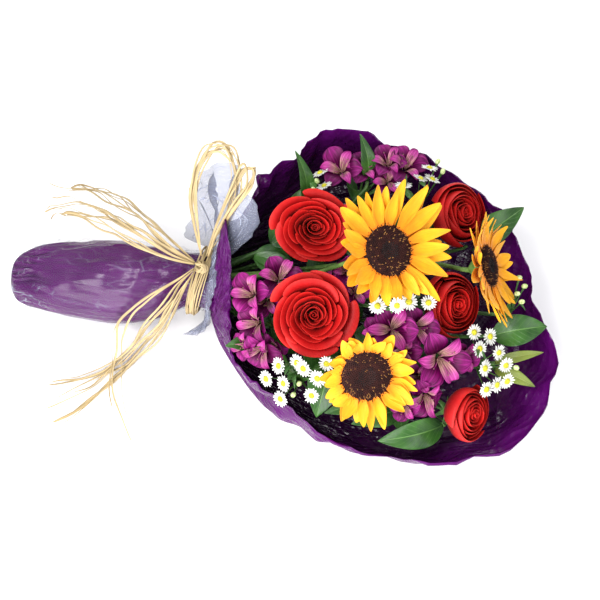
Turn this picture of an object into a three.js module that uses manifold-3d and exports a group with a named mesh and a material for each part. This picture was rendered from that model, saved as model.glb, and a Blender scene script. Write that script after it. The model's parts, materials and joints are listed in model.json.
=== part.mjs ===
// A mixed bouquet of cut flowers lying on its side, in millimetres.
// +X runs from the wrapped handle to the heads, +Z is up, and z = 0 is the surface that it lies on.
// The origin is on that surface, on the flat underside of the purple sleeve.
import * as THREE from "three";
import { mergeVertices } from "three/addons/utils/BufferGeometryUtils.js";
import Module from "manifold-3d";

const wasm = await Module();
wasm.setup();

// ---------------------------------------------------------------- driving dimensions

const TIE = new THREE.Vector3(-97, 12, 49); // centre of the raffia tie
const NECK_RADIUS = 26; // purple sleeve at the tie, outside
const SLEEVE_WALL = 0.9;
const FILM_WALL = 0.8;
const FILM_GAP = 1.2; // between the purple sleeve and the clear film
const HANDLE_END_X = -281;
const STEM_END_X = -256;
const AROUND = 20; // facets around the sleeve
const NECK_PLEAT = 1.0; // depth of the gathers at the neck
const NECK_LENGTH = 12; // straight part of the neck, past the tie's centre
const BAND_WIDTH = 13; // the wound raffia, along the neck
const STEM_PITCH = 5.8; // spacing of the stems where they are tied
const STEM_GAP = 0.35; // least air between two stems
const RAYS = 12; // in each of a sunflower's two rings
const BLADE = 0.8; // thickness of petals and leaves
const SEAT_GAP = 0.3; // between a bloom and what carries it

const COLOURS = {
  rose: 0xc1121c,
  roseStem: 0x3f6b2a,
  ray: 0xf2c21c,
  disc: 0x2c120e,
  sunflowerStem: 0x557a2e,
  alstroemeria: 0x96207c,
  aster: 0xf6f6ee,
  leaf: 0x3b6a2c,
  oliveLeaf: 0x7f8f35,
  sleeve: 0x5a1068,
  film: 0xdfe3ea,
  raffia: 0xdcc68c,
};

// Each bloom: the middle of its face, the way it faces, and its radius.
const ROSES = [
  { at: [8, 43, 126], facing: [0.2, -0.48, 0.85], radius: 38, turn: 20 },
  { at: [20, -45, 120], facing: [0.13, -0.5, 0.86], radius: 41, turn: 75 },
  { at: [142, 97, 98], facing: [0.65, -0.16, 0.74], radius: 34, turn: 130 },
  { at: [147, -1, 96], facing: [0.68, -0.31, 0.67], radius: 34, turn: 10 },
  { at: [175, -97, 70], facing: [0.78, -0.29, 0.56], radius: 29, turn: 45 },
];
const SUNFLOWERS = [
  { at: [79, 6, 166], facing: [0.47, -0.27, 0.84], radius: 57, disc: 24, via: [14, 2, 64] },
  { at: [75, -94, 112], facing: [0.23, -0.68, 0.69], radius: 48, disc: 24 },
  { at: [171, 33, 116], facing: [0.88, 0.08, 0.47], radius: 46, disc: 20 },
];
const ALSTROEMERIAS = [
  { hub: [-28, -18, 70], florets: [
    { at: [-18, -2, 104], facing: [0.13, -0.21, 0.97], radius: 19 },
    { at: [-44, -23, 104], facing: [-0.31, -0.3, 0.9], radius: 18 }] },
  { hub: [-22, -42, 55], florets: [
    { at: [-36, -48, 92], facing: [-0.42, -0.56, 0.71], radius: 17 },
    { at: [-26, -71, 82], facing: [-0.22, -0.83, 0.51], radius: 17 }] },
  { hub: [40, 112, 70], florets: [
    { at: [20, 120, 112], facing: [-0.07, -0.19, 0.98], radius: 19 },
    { at: [64, 136, 110], facing: [0, -0.02, 1], radius: 16 },
    { at: [82, 138, 106], facing: [0.16, -0.05, 0.99], radius: 18 }] },
  { hub: [96, -40, 78], florets: [
    { at: [92, -47, 117], facing: [0.07, -0.46, 0.88], radius: 22 },
    { at: [116, -38, 110], facing: [0.33, -0.49, 0.8], radius: 18 }] },
  { hub: [126, -62, 55], florets: [
    { at: [141, -60, 96], facing: [0.3, -0.59, 0.75], radius: 24 },
    { at: [132, -90, 72], facing: [0.22, -0.76, 0.62], radius: 19 }] },
  { hub: [42, 4, 66], florets: [
    { at: [43, 16, 100], facing: [0.17, -0.45, 0.88], radius: 15 }] },
];
const DAISY = 9; // radius of an open aster
const DAISY_RAYS = 6;
const BUD = 3.6; // radius of a closed one
const ASTERS = [
  { hub: [98, 108, 74], daisies: [[104, 134, 110], [97, 121, 110], [111, 121, 106], [82, 108, 114]],
    buds: [[111, 144, 108], [117, 135, 106]] },
  { hub: [2, 88, 76], daisies: [[2, 111, 112], [8, 98, 111]], buds: [[-2, 94, 108], [0, 103, 110]] },
  { hub: [92, -12, 96], daisies: [[78, -31, 134], [104, -16, 130], [91, -33, 140], [79, -14, 136],
    [121, -17, 122]], buds: [] },
  { hub: [172, -44, 62], daisies: [[173, -42, 94], [180, -59, 90], [181, -27, 92], [166, -27, 96],
    [191, -39, 86], [199, -49, 82], [202, -62, 76], [193, -69, 80], [184, -75, 80]],
    buds: [[209, -48, 78]] },
  { hub: [12, -82, 58], daisies: [[-6, -86, 90], [-16, -96, 80], [1, -102, 88], [17, -87, 94],
    [31, -94, 92], [28, -109, 86], [0, -113, 78], [11, -73, 92], [37, -78, 92]],
    buds: [[15, -99, 86], [11, -108, 80]] },
  { hub: [198, 18, 58], daisies: [], buds: [[202, 43, 84], [208, 36, 82], [202, 28, 80], [207, 19, 82]] },
];
// Leafy stems: each leaf from its foot to its tip, with its half width and the way its face looks.
const LEAFY_STEMS = [
  { leaves: [{ foot: [-10, 88, 86], tip: [-24, 121, 130], half: 10, face: [0.8, -0.6, 0.2] }] },
  { leaves: [{ foot: [46, 122, 92], tip: [34, 152, 126], half: 9, face: [0.6, -0.7, 0.3] }] },
  { leaves: [{ foot: [150, 78, 70], tip: [199, 121, 84], half: 16, face: [0.2, -0.4, 0.9] }] },
  { leaves: [{ foot: [184, -10, 62], tip: [234, 5, 67], half: 17, face: [0.1, -0.3, 0.95] }] },
  { leaves: [{ foot: [150, -96, 34], tip: [92, -127, 47], half: 16, face: [0.1, -0.6, 0.8] }] },
  { leaves: [{ foot: [108, -88, 40], tip: [66, -118, 56], half: 13, face: [0, -0.5, 0.85] },
    { foot: [88, -80, 42], tip: [40, -112, 58], half: 12, face: [-0.2, -0.5, 0.8] }] },
  { leaves: [{ foot: [190, -32, 50], tip: [234, -19, 60], half: 6, face: [0, -0.3, 0.95] },
    { foot: [190, -38, 50], tip: [230, -53, 54], half: 8, face: [0, -0.3, 0.95] }], olive: true },
  { leaves: [{ foot: [-38, -52, 62], tip: [-59, -70, 82], half: 9, face: [-0.3, -0.5, 0.8] }] },
];

// The sleeve's rim, by the angle at the tie that each point is gathered from: 0 is the top,
// 90 the front, 180 the underside and 270 the back.
const RIM = [
  [0, -71, 41, 118], [20, -62, 8, 103], [45, -57, -25, 92], [70, -55, -52, 78], [90, -42, -75, 66],
  [105, -20, -90, 58], [120, 20, -110, 50], [135, 70, -126, 44], [150, 120, -133, 41],
  [163, 175, -118, 37], [172, 221, -94, 38], [180, 234, -60, 46], [190, 242, -10, 58],
  [202, 224, 28, 66], [217, 207, 64, 75], [233, 177, 112, 86], [241, 158, 137, 88], [250, 124, 148, 92],
  [267, 70, 158, 104], [283, 20, 160, 119], [298, -13, 147, 120], [315, -38, 114, 118],
  [328, -49, 84, 116], [345, -70, 62, 86],
];

// ---------------------------------------------------------------- small helpers

const vec = ([x, y, z]) => new THREE.Vector3(x, y, z);
const unit = (list) => vec(list).normalize();
const radians = THREE.MathUtils.degToRad;
const { lerp, smoothstep } = THREE.MathUtils;

/** A repeatable stream of numbers from 0 to 1. */
function seeded(seed) {
  let state = seed;
  return () => {
    state = (state * 1664525 + 1013904223) % 4294967296;
    return state / 4294967296;
  };
}

/** The matrix that turns +Z to a facing, turns about it, and moves the origin to a point. */
function pose(at, facing, turnDegrees = 0) {
  const tilt = new THREE.Quaternion().setFromUnitVectors(new THREE.Vector3(0, 0, 1), facing);
  const turn = new THREE.Quaternion().setFromAxisAngle(new THREE.Vector3(0, 0, 1), radians(turnDegrees));
  return new THREE.Matrix4().compose(at, tilt.multiply(turn), new THREE.Vector3(1, 1, 1));
}

/** A closed geometry with only its positions, each shared by the faces that meet there. */
function closed(geometry) {
  const bare = new THREE.BufferGeometry();
  bare.setAttribute("position", geometry.getAttribute("position"));
  bare.setIndex(geometry.getIndex());
  return mergeVertices(bare, 1e-3);
}

/** A closed geometry as a solid that can be joined. */
function solidOf(geometry) {
  const vertProperties = Float32Array.from(geometry.getAttribute("position").array);
  const triVerts = Uint32Array.from(geometry.getIndex().array);
  const solid = new wasm.Manifold(new wasm.Mesh({ numProp: 3, vertProperties, triVerts }));
  if (solid.volume() > 0) return solid;
  return new wasm.Manifold(new wasm.Mesh({ numProp: 3, vertProperties, triVerts: triVerts.reverse() }));
}

/** Solids joined into one body; scraps that touch nothing are dropped. */
function fuse(solids) {
  const bodies = wasm.Manifold.union(solids).decompose();
  bodies.sort((a, b) => b.volume() - a.volume());
  const { vertProperties, triVerts, numProp } = bodies[0].getMesh();
  const positions = new Float32Array((vertProperties.length / numProp) * 3);
  for (let i = 0; i < positions.length / 3; i += 1) {
    for (let k = 0; k < 3; k += 1) positions[3 * i + k] = vertProperties[numProp * i + k];
  }
  const geometry = new THREE.BufferGeometry();
  geometry.setAttribute("position", new THREE.BufferAttribute(positions, 3));
  geometry.setIndex(new THREE.BufferAttribute(Uint32Array.from(triVerts), 1));
  return geometry;
}

/** Triangles between two rows of points, of any two lengths, as index triples. */
function strip(firstA, countA, firstB, countB) {
  const triangles = [];
  let a = 0;
  let b = 0;
  while (a < countA - 1 || b < countB - 1) {
    const stepA = b === countB - 1 || (a < countA - 1 && (a + 1) * (countB - 1) <= (b + 1) * (countA - 1));
    if (stepA) {
      triangles.push([firstA + a, firstA + a + 1, firstB + b]);
      a += 1;
    } else {
      triangles.push([firstA + a, firstB + b + 1, firstB + b]);
      b += 1;
    }
  }
  return triangles;
}

/**
 * A thin sheet of triangles, split alike on both faces. With a stalk, the ring of points 1 to count on
 * its underside narrows to a three-sided stalk instead of closing over the middle, point 0.
 */
function sheet(points, faces, thickness = BLADE, stalk = null) {
  const normals = points.map(() => new THREE.Vector3());
  for (const [a, b, c] of faces) {
    const ab = points[b].clone().sub(points[a]);
    const ac = points[c].clone().sub(points[a]);
    const normal = ab.cross(ac);
    for (const corner of [a, b, c]) normals[corner].add(normal);
  }
  const count = points.length;
  const positions = [];
  for (const side of [0.5, -0.5]) {
    points.forEach((point, i) => {
      const p = point.clone().addScaledVector(normals[i].normalize(), side * thickness);
      positions.push(p.x, p.y, p.z);
    });
  }
  const border = new Map();
  for (const [a, b, c] of faces) {
    for (const [from, to] of [[a, b], [b, c], [c, a]]) {
      if (border.has(`${to},${from}`)) border.delete(`${to},${from}`);
      else border.set(`${from},${to}`, [from, to]);
    }
  }
  const index = [];
  for (const [a, b, c] of faces) {
    index.push(a, b, c);
    if (!stalk || a !== 0) index.push(count + c, count + b, count + a);
  }
  for (const [from, to] of border.values()) {
    index.push(from, count + from, to, to, count + from, count + to);
  }
  if (stalk) addStalk(positions, index, count, stalk);
  const geometry = new THREE.BufferGeometry();
  geometry.setAttribute("position", new THREE.Float32BufferAttribute(positions, 3));
  geometry.setIndex(index);
  return geometry;
}

/** Closes the underside of a sheet's middle with a three-sided stalk; the middle's own point becomes its end. */
function addStalk(positions, index, count, { ring, neck, root, radius }) {
  const along = root.clone().sub(neck).normalize();
  const first = new THREE.Vector3().fromArray(positions, 3 * (count + 1));
  const aside = first.sub(neck).projectOnPlane(along).setLength(radius);
  positions.splice(3 * count, 3, root.x, root.y, root.z);
  const start = positions.length / 3;
  for (const place of [neck, root]) {
    for (let i = 0; i < 3; i += 1) {
      const p = aside.clone().applyAxisAngle(along, (-2 * Math.PI * i) / 3).add(place);
      positions.push(p.x, p.y, p.z);
    }
  }
  const outer = (i) => count + 1 + (i % ring);
  const inner = (i) => start + (i % 3);
  for (let i = 0; i < 3; i += 1) {
    for (let k = (i * ring) / 3; k < ((i + 1) * ring) / 3; k += 1) index.push(outer(k + 1), outer(k), inner(i));
    index.push(inner(i), inner(i + 1), outer(((i + 1) * ring) / 3));
    index.push(inner(i), inner(i) + 3, inner(i + 1), inner(i + 1), inner(i) + 3, inner(i + 1) + 3);
    index.push(inner(i) + 3, count, inner(i + 1) + 3);
  }
}

/** A thin blade through rows of points. */
function blade(rows, thickness = BLADE) {
  const starts = rows.map((row, i) => rows.slice(0, i).reduce((sum, r) => sum + r.length, 0));
  const faces = [];
  for (let i = 0; i < rows.length - 1; i += 1) {
    faces.push(...strip(starts[i], rows[i].length, starts[i + 1], rows[i + 1].length));
  }
  return sheet(rows.flat(), faces, thickness);
}

/**
 * One sheet cut into rays about its middle. Ray i lies between notch i and the next, with the points
 * of its rim in order and, if it is folded, one point on its fold.
 */
function rosette(middle, notches, rays, stalk = null) {
  const points = [middle, ...notches];
  const faces = [];
  rays.forEach(({ rim, fold }, i) => {
    const [here, next] = [1 + i, 1 + ((i + 1) % notches.length)];
    const first = points.length;
    points.push(...rim);
    const outline = [here, ...rim.map((_, k) => first + k), next];
    faces.push([0, here, next]);
    if (fold) {
      const centre = points.push(fold) - 1;
      outline.forEach((corner, k) => faces.push([centre, corner, outline[(k + 1) % outline.length]]));
    } else {
      for (let k = 1; k < outline.length - 1; k += 1) faces.push([outline[0], outline[k], outline[k + 1]]);
    }
  });
  return sheet(points, faces, BLADE, stalk && { ...stalk, ring: notches.length });
}

/** A rod through points, with a ring of corners square to the way it runs at each. */
function rod(points, radius, sides = 4) {
  const last = points.length - 1;
  const positions = [];
  const index = [];
  let aside = new THREE.Vector3(0, 1, 0);
  points.forEach((point, i) => {
    const along = points[Math.min(i + 1, last)].clone().sub(points[Math.max(i - 1, 0)]).normalize();
    if (i === 0 && Math.abs(along.y) > 0.9) aside.set(1, 0, 0);
    aside = aside.projectOnPlane(along).setLength(radius);
    for (let k = 0; k < sides; k += 1) {
      const corner = aside.clone().applyAxisAngle(along, (2 * Math.PI * k) / sides).add(point);
      positions.push(corner.x, corner.y, corner.z);
    }
  });
  for (let k = 0; k < sides; k += 1) {
    const next = (k + 1) % sides;
    for (let i = 0; i < last; i += 1) {
      const [a, b] = [i * sides + k, i * sides + next];
      index.push(a, b, b + sides, a, b + sides, a + sides);
    }
    if (k > 0 && next > 0) index.push(0, next, k, last * sides, last * sides + k, last * sides + next);
  }
  const geometry = new THREE.BufferGeometry();
  geometry.setAttribute("position", new THREE.Float32BufferAttribute(positions, 3));
  geometry.setIndex(index);
  return geometry;
}

/** A turned solid about Z from [radius, height] pairs that start and end on the axis. */
function turned(profile, segments) {
  const outline = profile.map(([r, z]) => new THREE.Vector2(r, z));
  return closed(new THREE.LatheGeometry(outline, segments)).rotateX(Math.PI / 2);
}

const parts = new THREE.Group();

/** Adds one named piece with its own finish. */
function add(name, geometry, colour, roughness = 0.6, opacity = 1) {
  const finish = new THREE.MeshStandardMaterial({ color: colour, roughness, metalness: 0 });
  finish.opacity = opacity;
  finish.transparent = opacity < 1;
  const mesh = new THREE.Mesh(geometry, finish);
  mesh.name = name;
  parts.add(mesh);
}

// ---------------------------------------------------------------- room that each bloom takes

/** A rounded region about a bloom: its middle, axis, radius across and half height. */
const room = (at, axis, across, high) => ({ at, axis, across, high });

const roseRoom = ({ at, facing, radius }) => {
  const axis = unit(facing);
  return room(vec(at).addScaledVector(axis, -0.42 * radius), axis, 1.08 * radius, 0.64 * radius);
};
const rayRoom = ({ at, facing, radius }) => room(vec(at), unit(facing), 1.06 * radius, 11);
const headRoom = ({ at, facing, disc }) => {
  const axis = unit(facing);
  return room(vec(at).addScaledVector(axis, -10), axis, disc + 2, 16);
};

const ROOMS = [...ROSES.map(roseRoom), ...SUNFLOWERS.map(rayRoom), ...SUNFLOWERS.map(headRoom)];

/** How far a point is into a room, from 0 in the middle to 1 on its boundary, and the way out. */
function depthIn({ at, axis, across, high }, point) {
  const offset = point.clone().sub(at);
  const along = offset.dot(axis);
  const aside = offset.addScaledVector(axis, -along);
  const reach = Math.hypot((aside.length() / across) ** 1.5, (Math.abs(along) / high) ** 1.5) ** (1 / 1.5);
  const out = aside.multiplyScalar(1 / across ** 2).addScaledVector(axis, along / high ** 2);
  return { reach, out: out.lengthSq() > 0 ? out.normalize() : axis.clone() };
}

/** A point bent clear of every room but those left out, in small steps. */
function bentClear(point, margin = 1, except = []) {
  const moved = point.clone();
  const step = 1;
  for (let round = 0; round < 60; round += 1) {
    let free = true;
    for (const each of ROOMS) {
      if (except.includes(each)) continue;
      const grown = { ...each, across: each.across + margin, high: each.high + margin };
      const { reach, out } = depthIn(grown, moved);
      if (reach >= 1) continue;
      moved.addScaledVector(out, step);
      free = false;
    }
    if (free) break;
  }
  return moved;
}

// ---------------------------------------------------------------- stems

const FIXED = 3; // the cut end and both ends of the neck stay where they are
const BENDS = 5; // straight pieces between the neck and the foot of a head

/** Places on a close-packed grid round the tie's middle, nearest first. */
function tieSlots(count) {
  const slots = [];
  for (let row = -4; row <= 4; row += 1) {
    for (let column = -4; column <= 4; column += 1) {
      const y = (column + (row % 2 === 0 ? 0 : 0.5)) * STEM_PITCH;
      slots.push({ y, z: row * STEM_PITCH * 0.84 });
    }
  }
  slots.sort((a, b) => Math.hypot(a.y, a.z) - Math.hypot(b.y, b.z));
  return slots.slice(0, count);
}

/** Gives each stem the slot that its head's direction asks for: rows by height, then by side. */
function shareSlots(stems) {
  const slots = tieSlots(stems.length).sort((a, b) => b.z - a.z || a.y - b.y);
  const rise = ({ foot }) => (foot.z - TIE.z) / (foot.x - TIE.x + 60);
  const side = ({ foot }) => (foot.y - TIE.y) / (foot.x - TIE.x + 60);
  const byHeight = [...stems].sort((a, b) => rise(b) - rise(a));
  for (let first = 0; first < slots.length;) {
    const row = slots.filter((slot) => slot.z === slots[first].z);
    const group = byHeight.slice(first, first + row.length).sort((a, b) => side(a) - side(b));
    group.forEach((stem, i) => Object.assign(stem, { slot: row[i] }));
    first += row.length;
  }
}

/** The stem's points: cut end, handle, neck, then a bend up to the foot of its head. */
function firstCourse(stem, random) {
  const { foot, facing, slot, via } = stem;
  const tie = new THREE.Vector3(TIE.x, TIE.y + slot.y, TIE.z + slot.z);
  const end = new THREE.Vector3(STEM_END_X + 14 * random(), 1.05 * slot.y, 38 + 1.05 * slot.z);
  const entry = tie.clone().setX(TIE.x - 14);
  const leave = tie.clone().setX(TIE.x + 10);
  const under = foot.clone().addScaledVector(facing, -7);
  const low = foot.clone().addScaledVector(facing, -Math.min(30, 0.3 * foot.distanceTo(leave)));
  const half = via ? vec(via) : leave.clone().lerp(low, 0.5);
  if (!via) half.z -= 0.08 * foot.distanceTo(leave);
  const bend = new THREE.CatmullRomCurve3([leave, half, low, under], false, "centripetal");
  stem.course = [end, entry, ...bend.getSpacedPoints(BENDS), foot];
}

/** The nearest places on two straight pieces, each as a fraction of its piece. */
function nearestFractions([a, b], [c, d]) {
  const clamp = (value) => Math.min(1, Math.max(0, value));
  const [u, v, w] = [b.clone().sub(a), d.clone().sub(c), a.clone().sub(c)];
  const [uu, uv, vv, uw, vw] = [u.dot(u), u.dot(v), v.dot(v), u.dot(w), v.dot(w)];
  const flat = uu * vv - uv * uv;
  const first = flat > 1e-6 ? clamp((uv * vw - vv * uw) / flat) : 0.5;
  const t = clamp((uv * first + vw) / vv);
  return [clamp((uv * t - uw) / uu), t];
}

/** Pushes a stem's straight piece off another one, by moving its ends that are free. */
function pushOff(stem, i, other, need) {
  const [a, b] = [stem.course[i], stem.course[i + 1]];
  const low = Math.min(a.x, b.x) - need;
  const high = Math.max(a.x, b.x) + need;
  if (Math.max(other[0].x, other[1].x) < low || Math.min(other[0].x, other[1].x) > high) return;
  const [s, t] = nearestFractions([a, b], other);
  const away = a.clone().lerp(b, s).sub(other[0].clone().lerp(other[1], t));
  const short = need - away.length();
  if (short <= 0) return;
  if (away.lengthSq() < 1e-6) away.set(0, 0.3, 1);
  away.setLength((0.5 * short) / (s * s + (1 - s) * (1 - s)));
  if (i >= FIXED) a.addScaledVector(away, 1 - s);
  if (i + 1 < stem.course.length - 2) b.addScaledVector(away, s);
}

/** Pushes the free points of the stems apart until they clear each other, the branches and the blooms. */
function spreadStems(stems, branches) {
  for (let round = 0; round < 160; round += 1) {
    for (const stem of stems) {
      const { course, radius, own } = stem;
      const free = course.length - 2;
      for (let i = FIXED; i < free; i += 1) {
        course[i].lerp(course[i - 1].clone().lerp(course[i + 1], 0.5), 0.06);
      }
      for (let i = FIXED - 1; i < course.length - 1; i += 1) {
        const middle = course[i].clone().lerp(course[i + 1], 0.5);
        const shift = bentClear(middle, radius + 1, own).sub(middle);
        if (i >= FIXED && i < free) course[i].add(shift);
        if (i + 1 < free) course[i + 1].add(shift);
        for (const other of stems) {
          if (other === stem) continue;
          for (let k = FIXED - 1; k < other.course.length - 1; k += 1) {
            pushOff(stem, i, [other.course[k], other.course[k + 1]], radius + other.radius + STEM_GAP);
          }
        }
        for (const branch of branches) {
          if (branch.of !== stem) pushOff(stem, i, branch.ends, radius + branch.radius + STEM_GAP);
        }
      }
      for (let i = FIXED; i < free; i += 1) {
        const point = course[i].copy(bentClear(course[i], radius + 1, own));
        point.z = Math.max(point.z, radius + 3);
        const mouth = NECK_RADIUS - 5 - radius + 0.6 * Math.max(0, point.x - TIE.x - NECK_LENGTH - 8);
        const off = Math.hypot(point.y - TIE.y, point.z - TIE.z);
        if (off > mouth) {
          point.y = TIE.y + ((point.y - TIE.y) * mouth) / off;
          point.z = TIE.z + ((point.z - TIE.z) * mouth) / off;
        }
      }
    }
  }
}

const random = seeded(11);
const stems = [];
const makeStem = (foot, facing, radius, { own = [], via } = {}) => {
  const stem = { foot, facing, radius, own, via };
  stems.push(stem);
  return stem;
};

const roseStems = ROSES.map((rose, i) => {
  const facing = unit(rose.facing);
  const foot = vec(rose.at).addScaledVector(facing, -0.97 * rose.radius - SEAT_GAP);
  return makeStem(foot.addScaledVector(facing, -1.4), facing, 2.7, { own: [ROOMS[i]] });
});
const sunflowerStems = SUNFLOWERS.map((sunflower, i) => {
  const facing = unit(sunflower.facing);
  const foot = vec(sunflower.at).addScaledVector(facing, -16);
  const own = [ROOMS[ROSES.length + i], ROOMS[ROSES.length + SUNFLOWERS.length + i]];
  return makeStem(foot, facing, 2.8, { own, via: sunflower.via });
});
const UP_AND_OUT = unit([0.45, 0, 0.9]);
const alstroemeriaStems = ALSTROEMERIAS.map(({ hub }) => makeStem(vec(hub), UP_AND_OUT, 2.6));
const asterStems = ASTERS.map(({ hub }) => makeStem(vec(hub), UP_AND_OUT, 2.5));
const leafStems = LEAFY_STEMS.map(({ leaves }) => {
  const foot = vec(leaves[0].foot);
  return makeStem(foot, vec(leaves[0].tip).sub(foot).normalize(), 2.5);
});
shareSlots(stems);
for (const stem of stems) firstCourse(stem, random);

/** The branches between hubs and heads, and the florets' cups, which the stems keep clear of. */
const branches = [];
ALSTROEMERIAS.forEach(({ hub, florets }, i) => {
  for (const { at, facing, radius } of florets) {
    const cup = vec(at).addScaledVector(unit(facing), -0.6 * radius);
    branches.push({ of: alstroemeriaStems[i], ends: [vec(hub), cup], radius: 2 });
    branches.push({ of: alstroemeriaStems[i], ends: [cup, vec(at)], radius: 0.7 * radius });
  }
});
ASTERS.forEach(({ hub, daisies, buds }, i) => {
  for (const at of [...daisies, ...buds]) {
    branches.push({ of: asterStems[i], ends: [vec(hub), vec(at)], radius: 1.5 });
  }
});
LEAFY_STEMS.forEach(({ leaves }, i) => {
  for (const { foot, tip } of leaves) branches.push({ of: leafStems[i], ends: [vec(foot), vec(tip)], radius: 4 });
});
spreadStems(stems, branches);

// ---------------------------------------------------------------- roses

/** One rose petal: it stands on the receptacle, leans out and rolls its lip. */
function rosePetal({ around, half, foot, lip, height, roll, rows, columns, overlap }, radius) {
  const grid = [];
  for (let row = 0; row < rows; row += 1) {
    const up = lerp(0.2, 1, row / (rows - 1));
    const line = [];
    for (let column = 0; column < columns; column += 1) {
      const across = (column / (columns - 1)) * 2 - 1;
      const angle = around + across * half * (0.55 + 0.45 * Math.sqrt(up));
      const lean = foot + (lip - foot) * up ** 0.75 + overlap * across * (0.35 + 0.65 * up);
      const drop = roll * Math.max(0, up - 0.6) ** 1.2;
      const rise = height * up * (1 - 0.13 * across ** 2) - drop;
      line.push(new THREE.Vector3(
        radius * (lean + 0.35 * drop) * Math.cos(angle),
        radius * (lean + 0.35 * drop) * Math.sin(angle),
        radius * (rise - 0.93),
      ));
    }
    grid.push(line);
  }
  return blade(grid, 1);
}

/** Petals in layers about a twisted bud, on one receptacle. */
function roseBloom(rose, number) {
  const { radius } = rose;
  const chance = seeded(100 + number);
  const layers = [
    { count: 3, foot: 0.1, lip: 0.27, height: 0.97, roll: 0, rows: 2, columns: 3, overlap: 0.02 },
    { count: 4, foot: 0.12, lip: 0.52, height: 0.93, roll: 0.1, rows: 3, columns: 3, overlap: 0.03 },
    { count: 5, foot: 0.14, lip: 0.86, height: 0.82, roll: 0.45, rows: 3, columns: 4, overlap: 0.03 },
  ];
  const heart = turned([[0, -0.97], [0.16, -0.95], [0.42, -0.78], [0.42, -0.66], [0.18, -0.54],
    [0.17, -0.3], [0.12, -0.02], [0, 0.04]].map(([r, z]) => [r * radius, z * radius]), 5);
  const solids = [solidOf(heart)];
  layers.forEach((layer, depth) => {
    for (let i = 0; i < layer.count; i += 1) {
      const around = ((i + 0.4 * depth + 0.12 * chance()) * 2 * Math.PI) / layer.count;
      const petal = { ...layer, around, half: (0.94 * Math.PI) / layer.count };
      solids.push(solidOf(rosePetal(petal, radius)));
    }
  });
  return fuse(solids).applyMatrix4(pose(vec(rose.at), unit(rose.facing), rose.turn));
}

/** A stem under a calyx of five sepals folded back. */
function roseStem(stem, rose) {
  const here = pose(stem.foot, stem.facing, rose.turn);
  const spot = (reach, step, z) => {
    const angle = (Math.PI * step) / 5;
    return new THREE.Vector3(reach * Math.cos(angle), reach * Math.sin(angle), z).applyMatrix4(here);
  };
  const notches = [];
  const rays = [];
  for (let i = 0; i < 5; i += 1) {
    notches.push(spot(4.5, 2 * i, -0.4));
    rays.push({ rim: [spot(8, 2 * i + 0.5, -3), spot(17, 2 * i + 1, -7), spot(8, 2 * i + 1.5, -3)] });
  }
  const calyx = rosette(spot(0, 0, 0.4), notches, rays);
  return fuse([solidOf(rod(stem.course, stem.radius)), solidOf(calyx)]);
}

ROSES.forEach((rose, i) => {
  add(`rose_${i + 1}_bloom`, roseBloom(rose, i), COLOURS.rose, 0.55);
  add(`rose_${i + 1}_stem`, roseStem(roseStems[i], rose), COLOURS.roseStem, 0.6);
});

// ---------------------------------------------------------------- sunflowers

/** Two sheets of pointed rays, staggered, on a boss under the seed disc. */
function sunflowerRays(sunflower, number) {
  const { radius, disc } = sunflower;
  const chance = seeded(200 + number);
  const here = pose(vec(sunflower.at), unit(sunflower.facing));
  const own = [ROOMS[5 + number], ROOMS[8 + number]];
  const place = (reach, angle, side, z) => bentClear(new THREE.Vector3(
    reach * Math.cos(angle) - side * Math.sin(angle),
    reach * Math.sin(angle) + side * Math.cos(angle),
    z,
  ).applyMatrix4(here), 1.2, own);
  const boss = turned([[0, -3.6], [0.5 * disc, -3.6], [0.5 * disc, -1], [0, -1]], 8);
  const solids = [solidOf(boss.applyMatrix4(here))];
  for (const [offset, z, slope] of [[0, -1.3, 1], [0.5, -3.1, -1]]) {
    const spacing = (2 * Math.PI) / RAYS;
    const notches = [];
    const rays = [];
    for (let i = 0; i < RAYS; i += 1) {
      const angle = (i + offset) * spacing;
      const length = radius * (0.82 + 0.18 * chance());
      const half = radius * (0.1 + 0.02 * chance());
      const rise = z + slope * (2 + 4 * chance());
      const sweep = 6 * (chance() - 0.5);
      const widest = lerp(disc, length, 0.45);
      notches.push(place(disc + 2, angle - spacing / 2, 0, z));
      rays.push({
        rim: [
          place(widest, angle, 0.3 * sweep - half, rise + 1),
          place(length, angle, sweep, rise - 1),
          place(widest, angle, 0.3 * sweep + half, rise + 1),
        ],
        fold: slope > 0 ? place(widest, angle, 0.3 * sweep, rise - 0.6) : null,
      });
    }
    solids.push(solidOf(rosette(place(0, 0, 0, z), notches, rays)));
  }
  return fuse(solids);
}

/** The seed disc: a low dome whose florets stand up in staggered points. */
function seedDisc(sunflower) {
  const edge = sunflower.disc - 1.5;
  const rings = [[1, -0.4, 0], [1, 2.4, 1.1], [0.72, 5, 1.3], [0.42, 4.6, 1.1], [0.18, 3.2, 0.5]];
  const segments = 12;
  const dome = turned([[0, -0.4], ...rings.map(([r, z]) => [r * edge, z]), [0, 3]], segments);
  const place = dome.getAttribute("position");
  for (let i = 0; i < place.count; i += 1) {
    const step = Math.round((Math.atan2(place.getY(i), place.getX(i)) / (2 * Math.PI)) * segments);
    const ring = rings.findIndex(([r]) => Math.abs(Math.hypot(place.getX(i), place.getY(i)) - r * edge) < 0.2);
    if (place.getZ(i) < 0 || ring < 1) continue;
    const relief = rings[ring][2] * ((step + ring) % 2 === 0 ? 1 : -1);
    place.setZ(i, place.getZ(i) + 0.7 * relief);
  }
  return dome.applyMatrix4(pose(vec(sunflower.at), unit(sunflower.facing)));
}

/** The green back of the head, narrowing into the stem. */
function sunflowerStem(stem, sunflower) {
  const here = pose(vec(sunflower.at), unit(sunflower.facing));
  const back = turned([[0, -20], [3.6, -19], [0.6 * sunflower.disc, -11], [0.92 * sunflower.disc, -5],
    [0.9 * sunflower.disc, -3.9], [0, -3.9]], 8).applyMatrix4(here);
  return fuse([solidOf(rod(stem.course, stem.radius)), solidOf(back)]);
}

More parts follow.
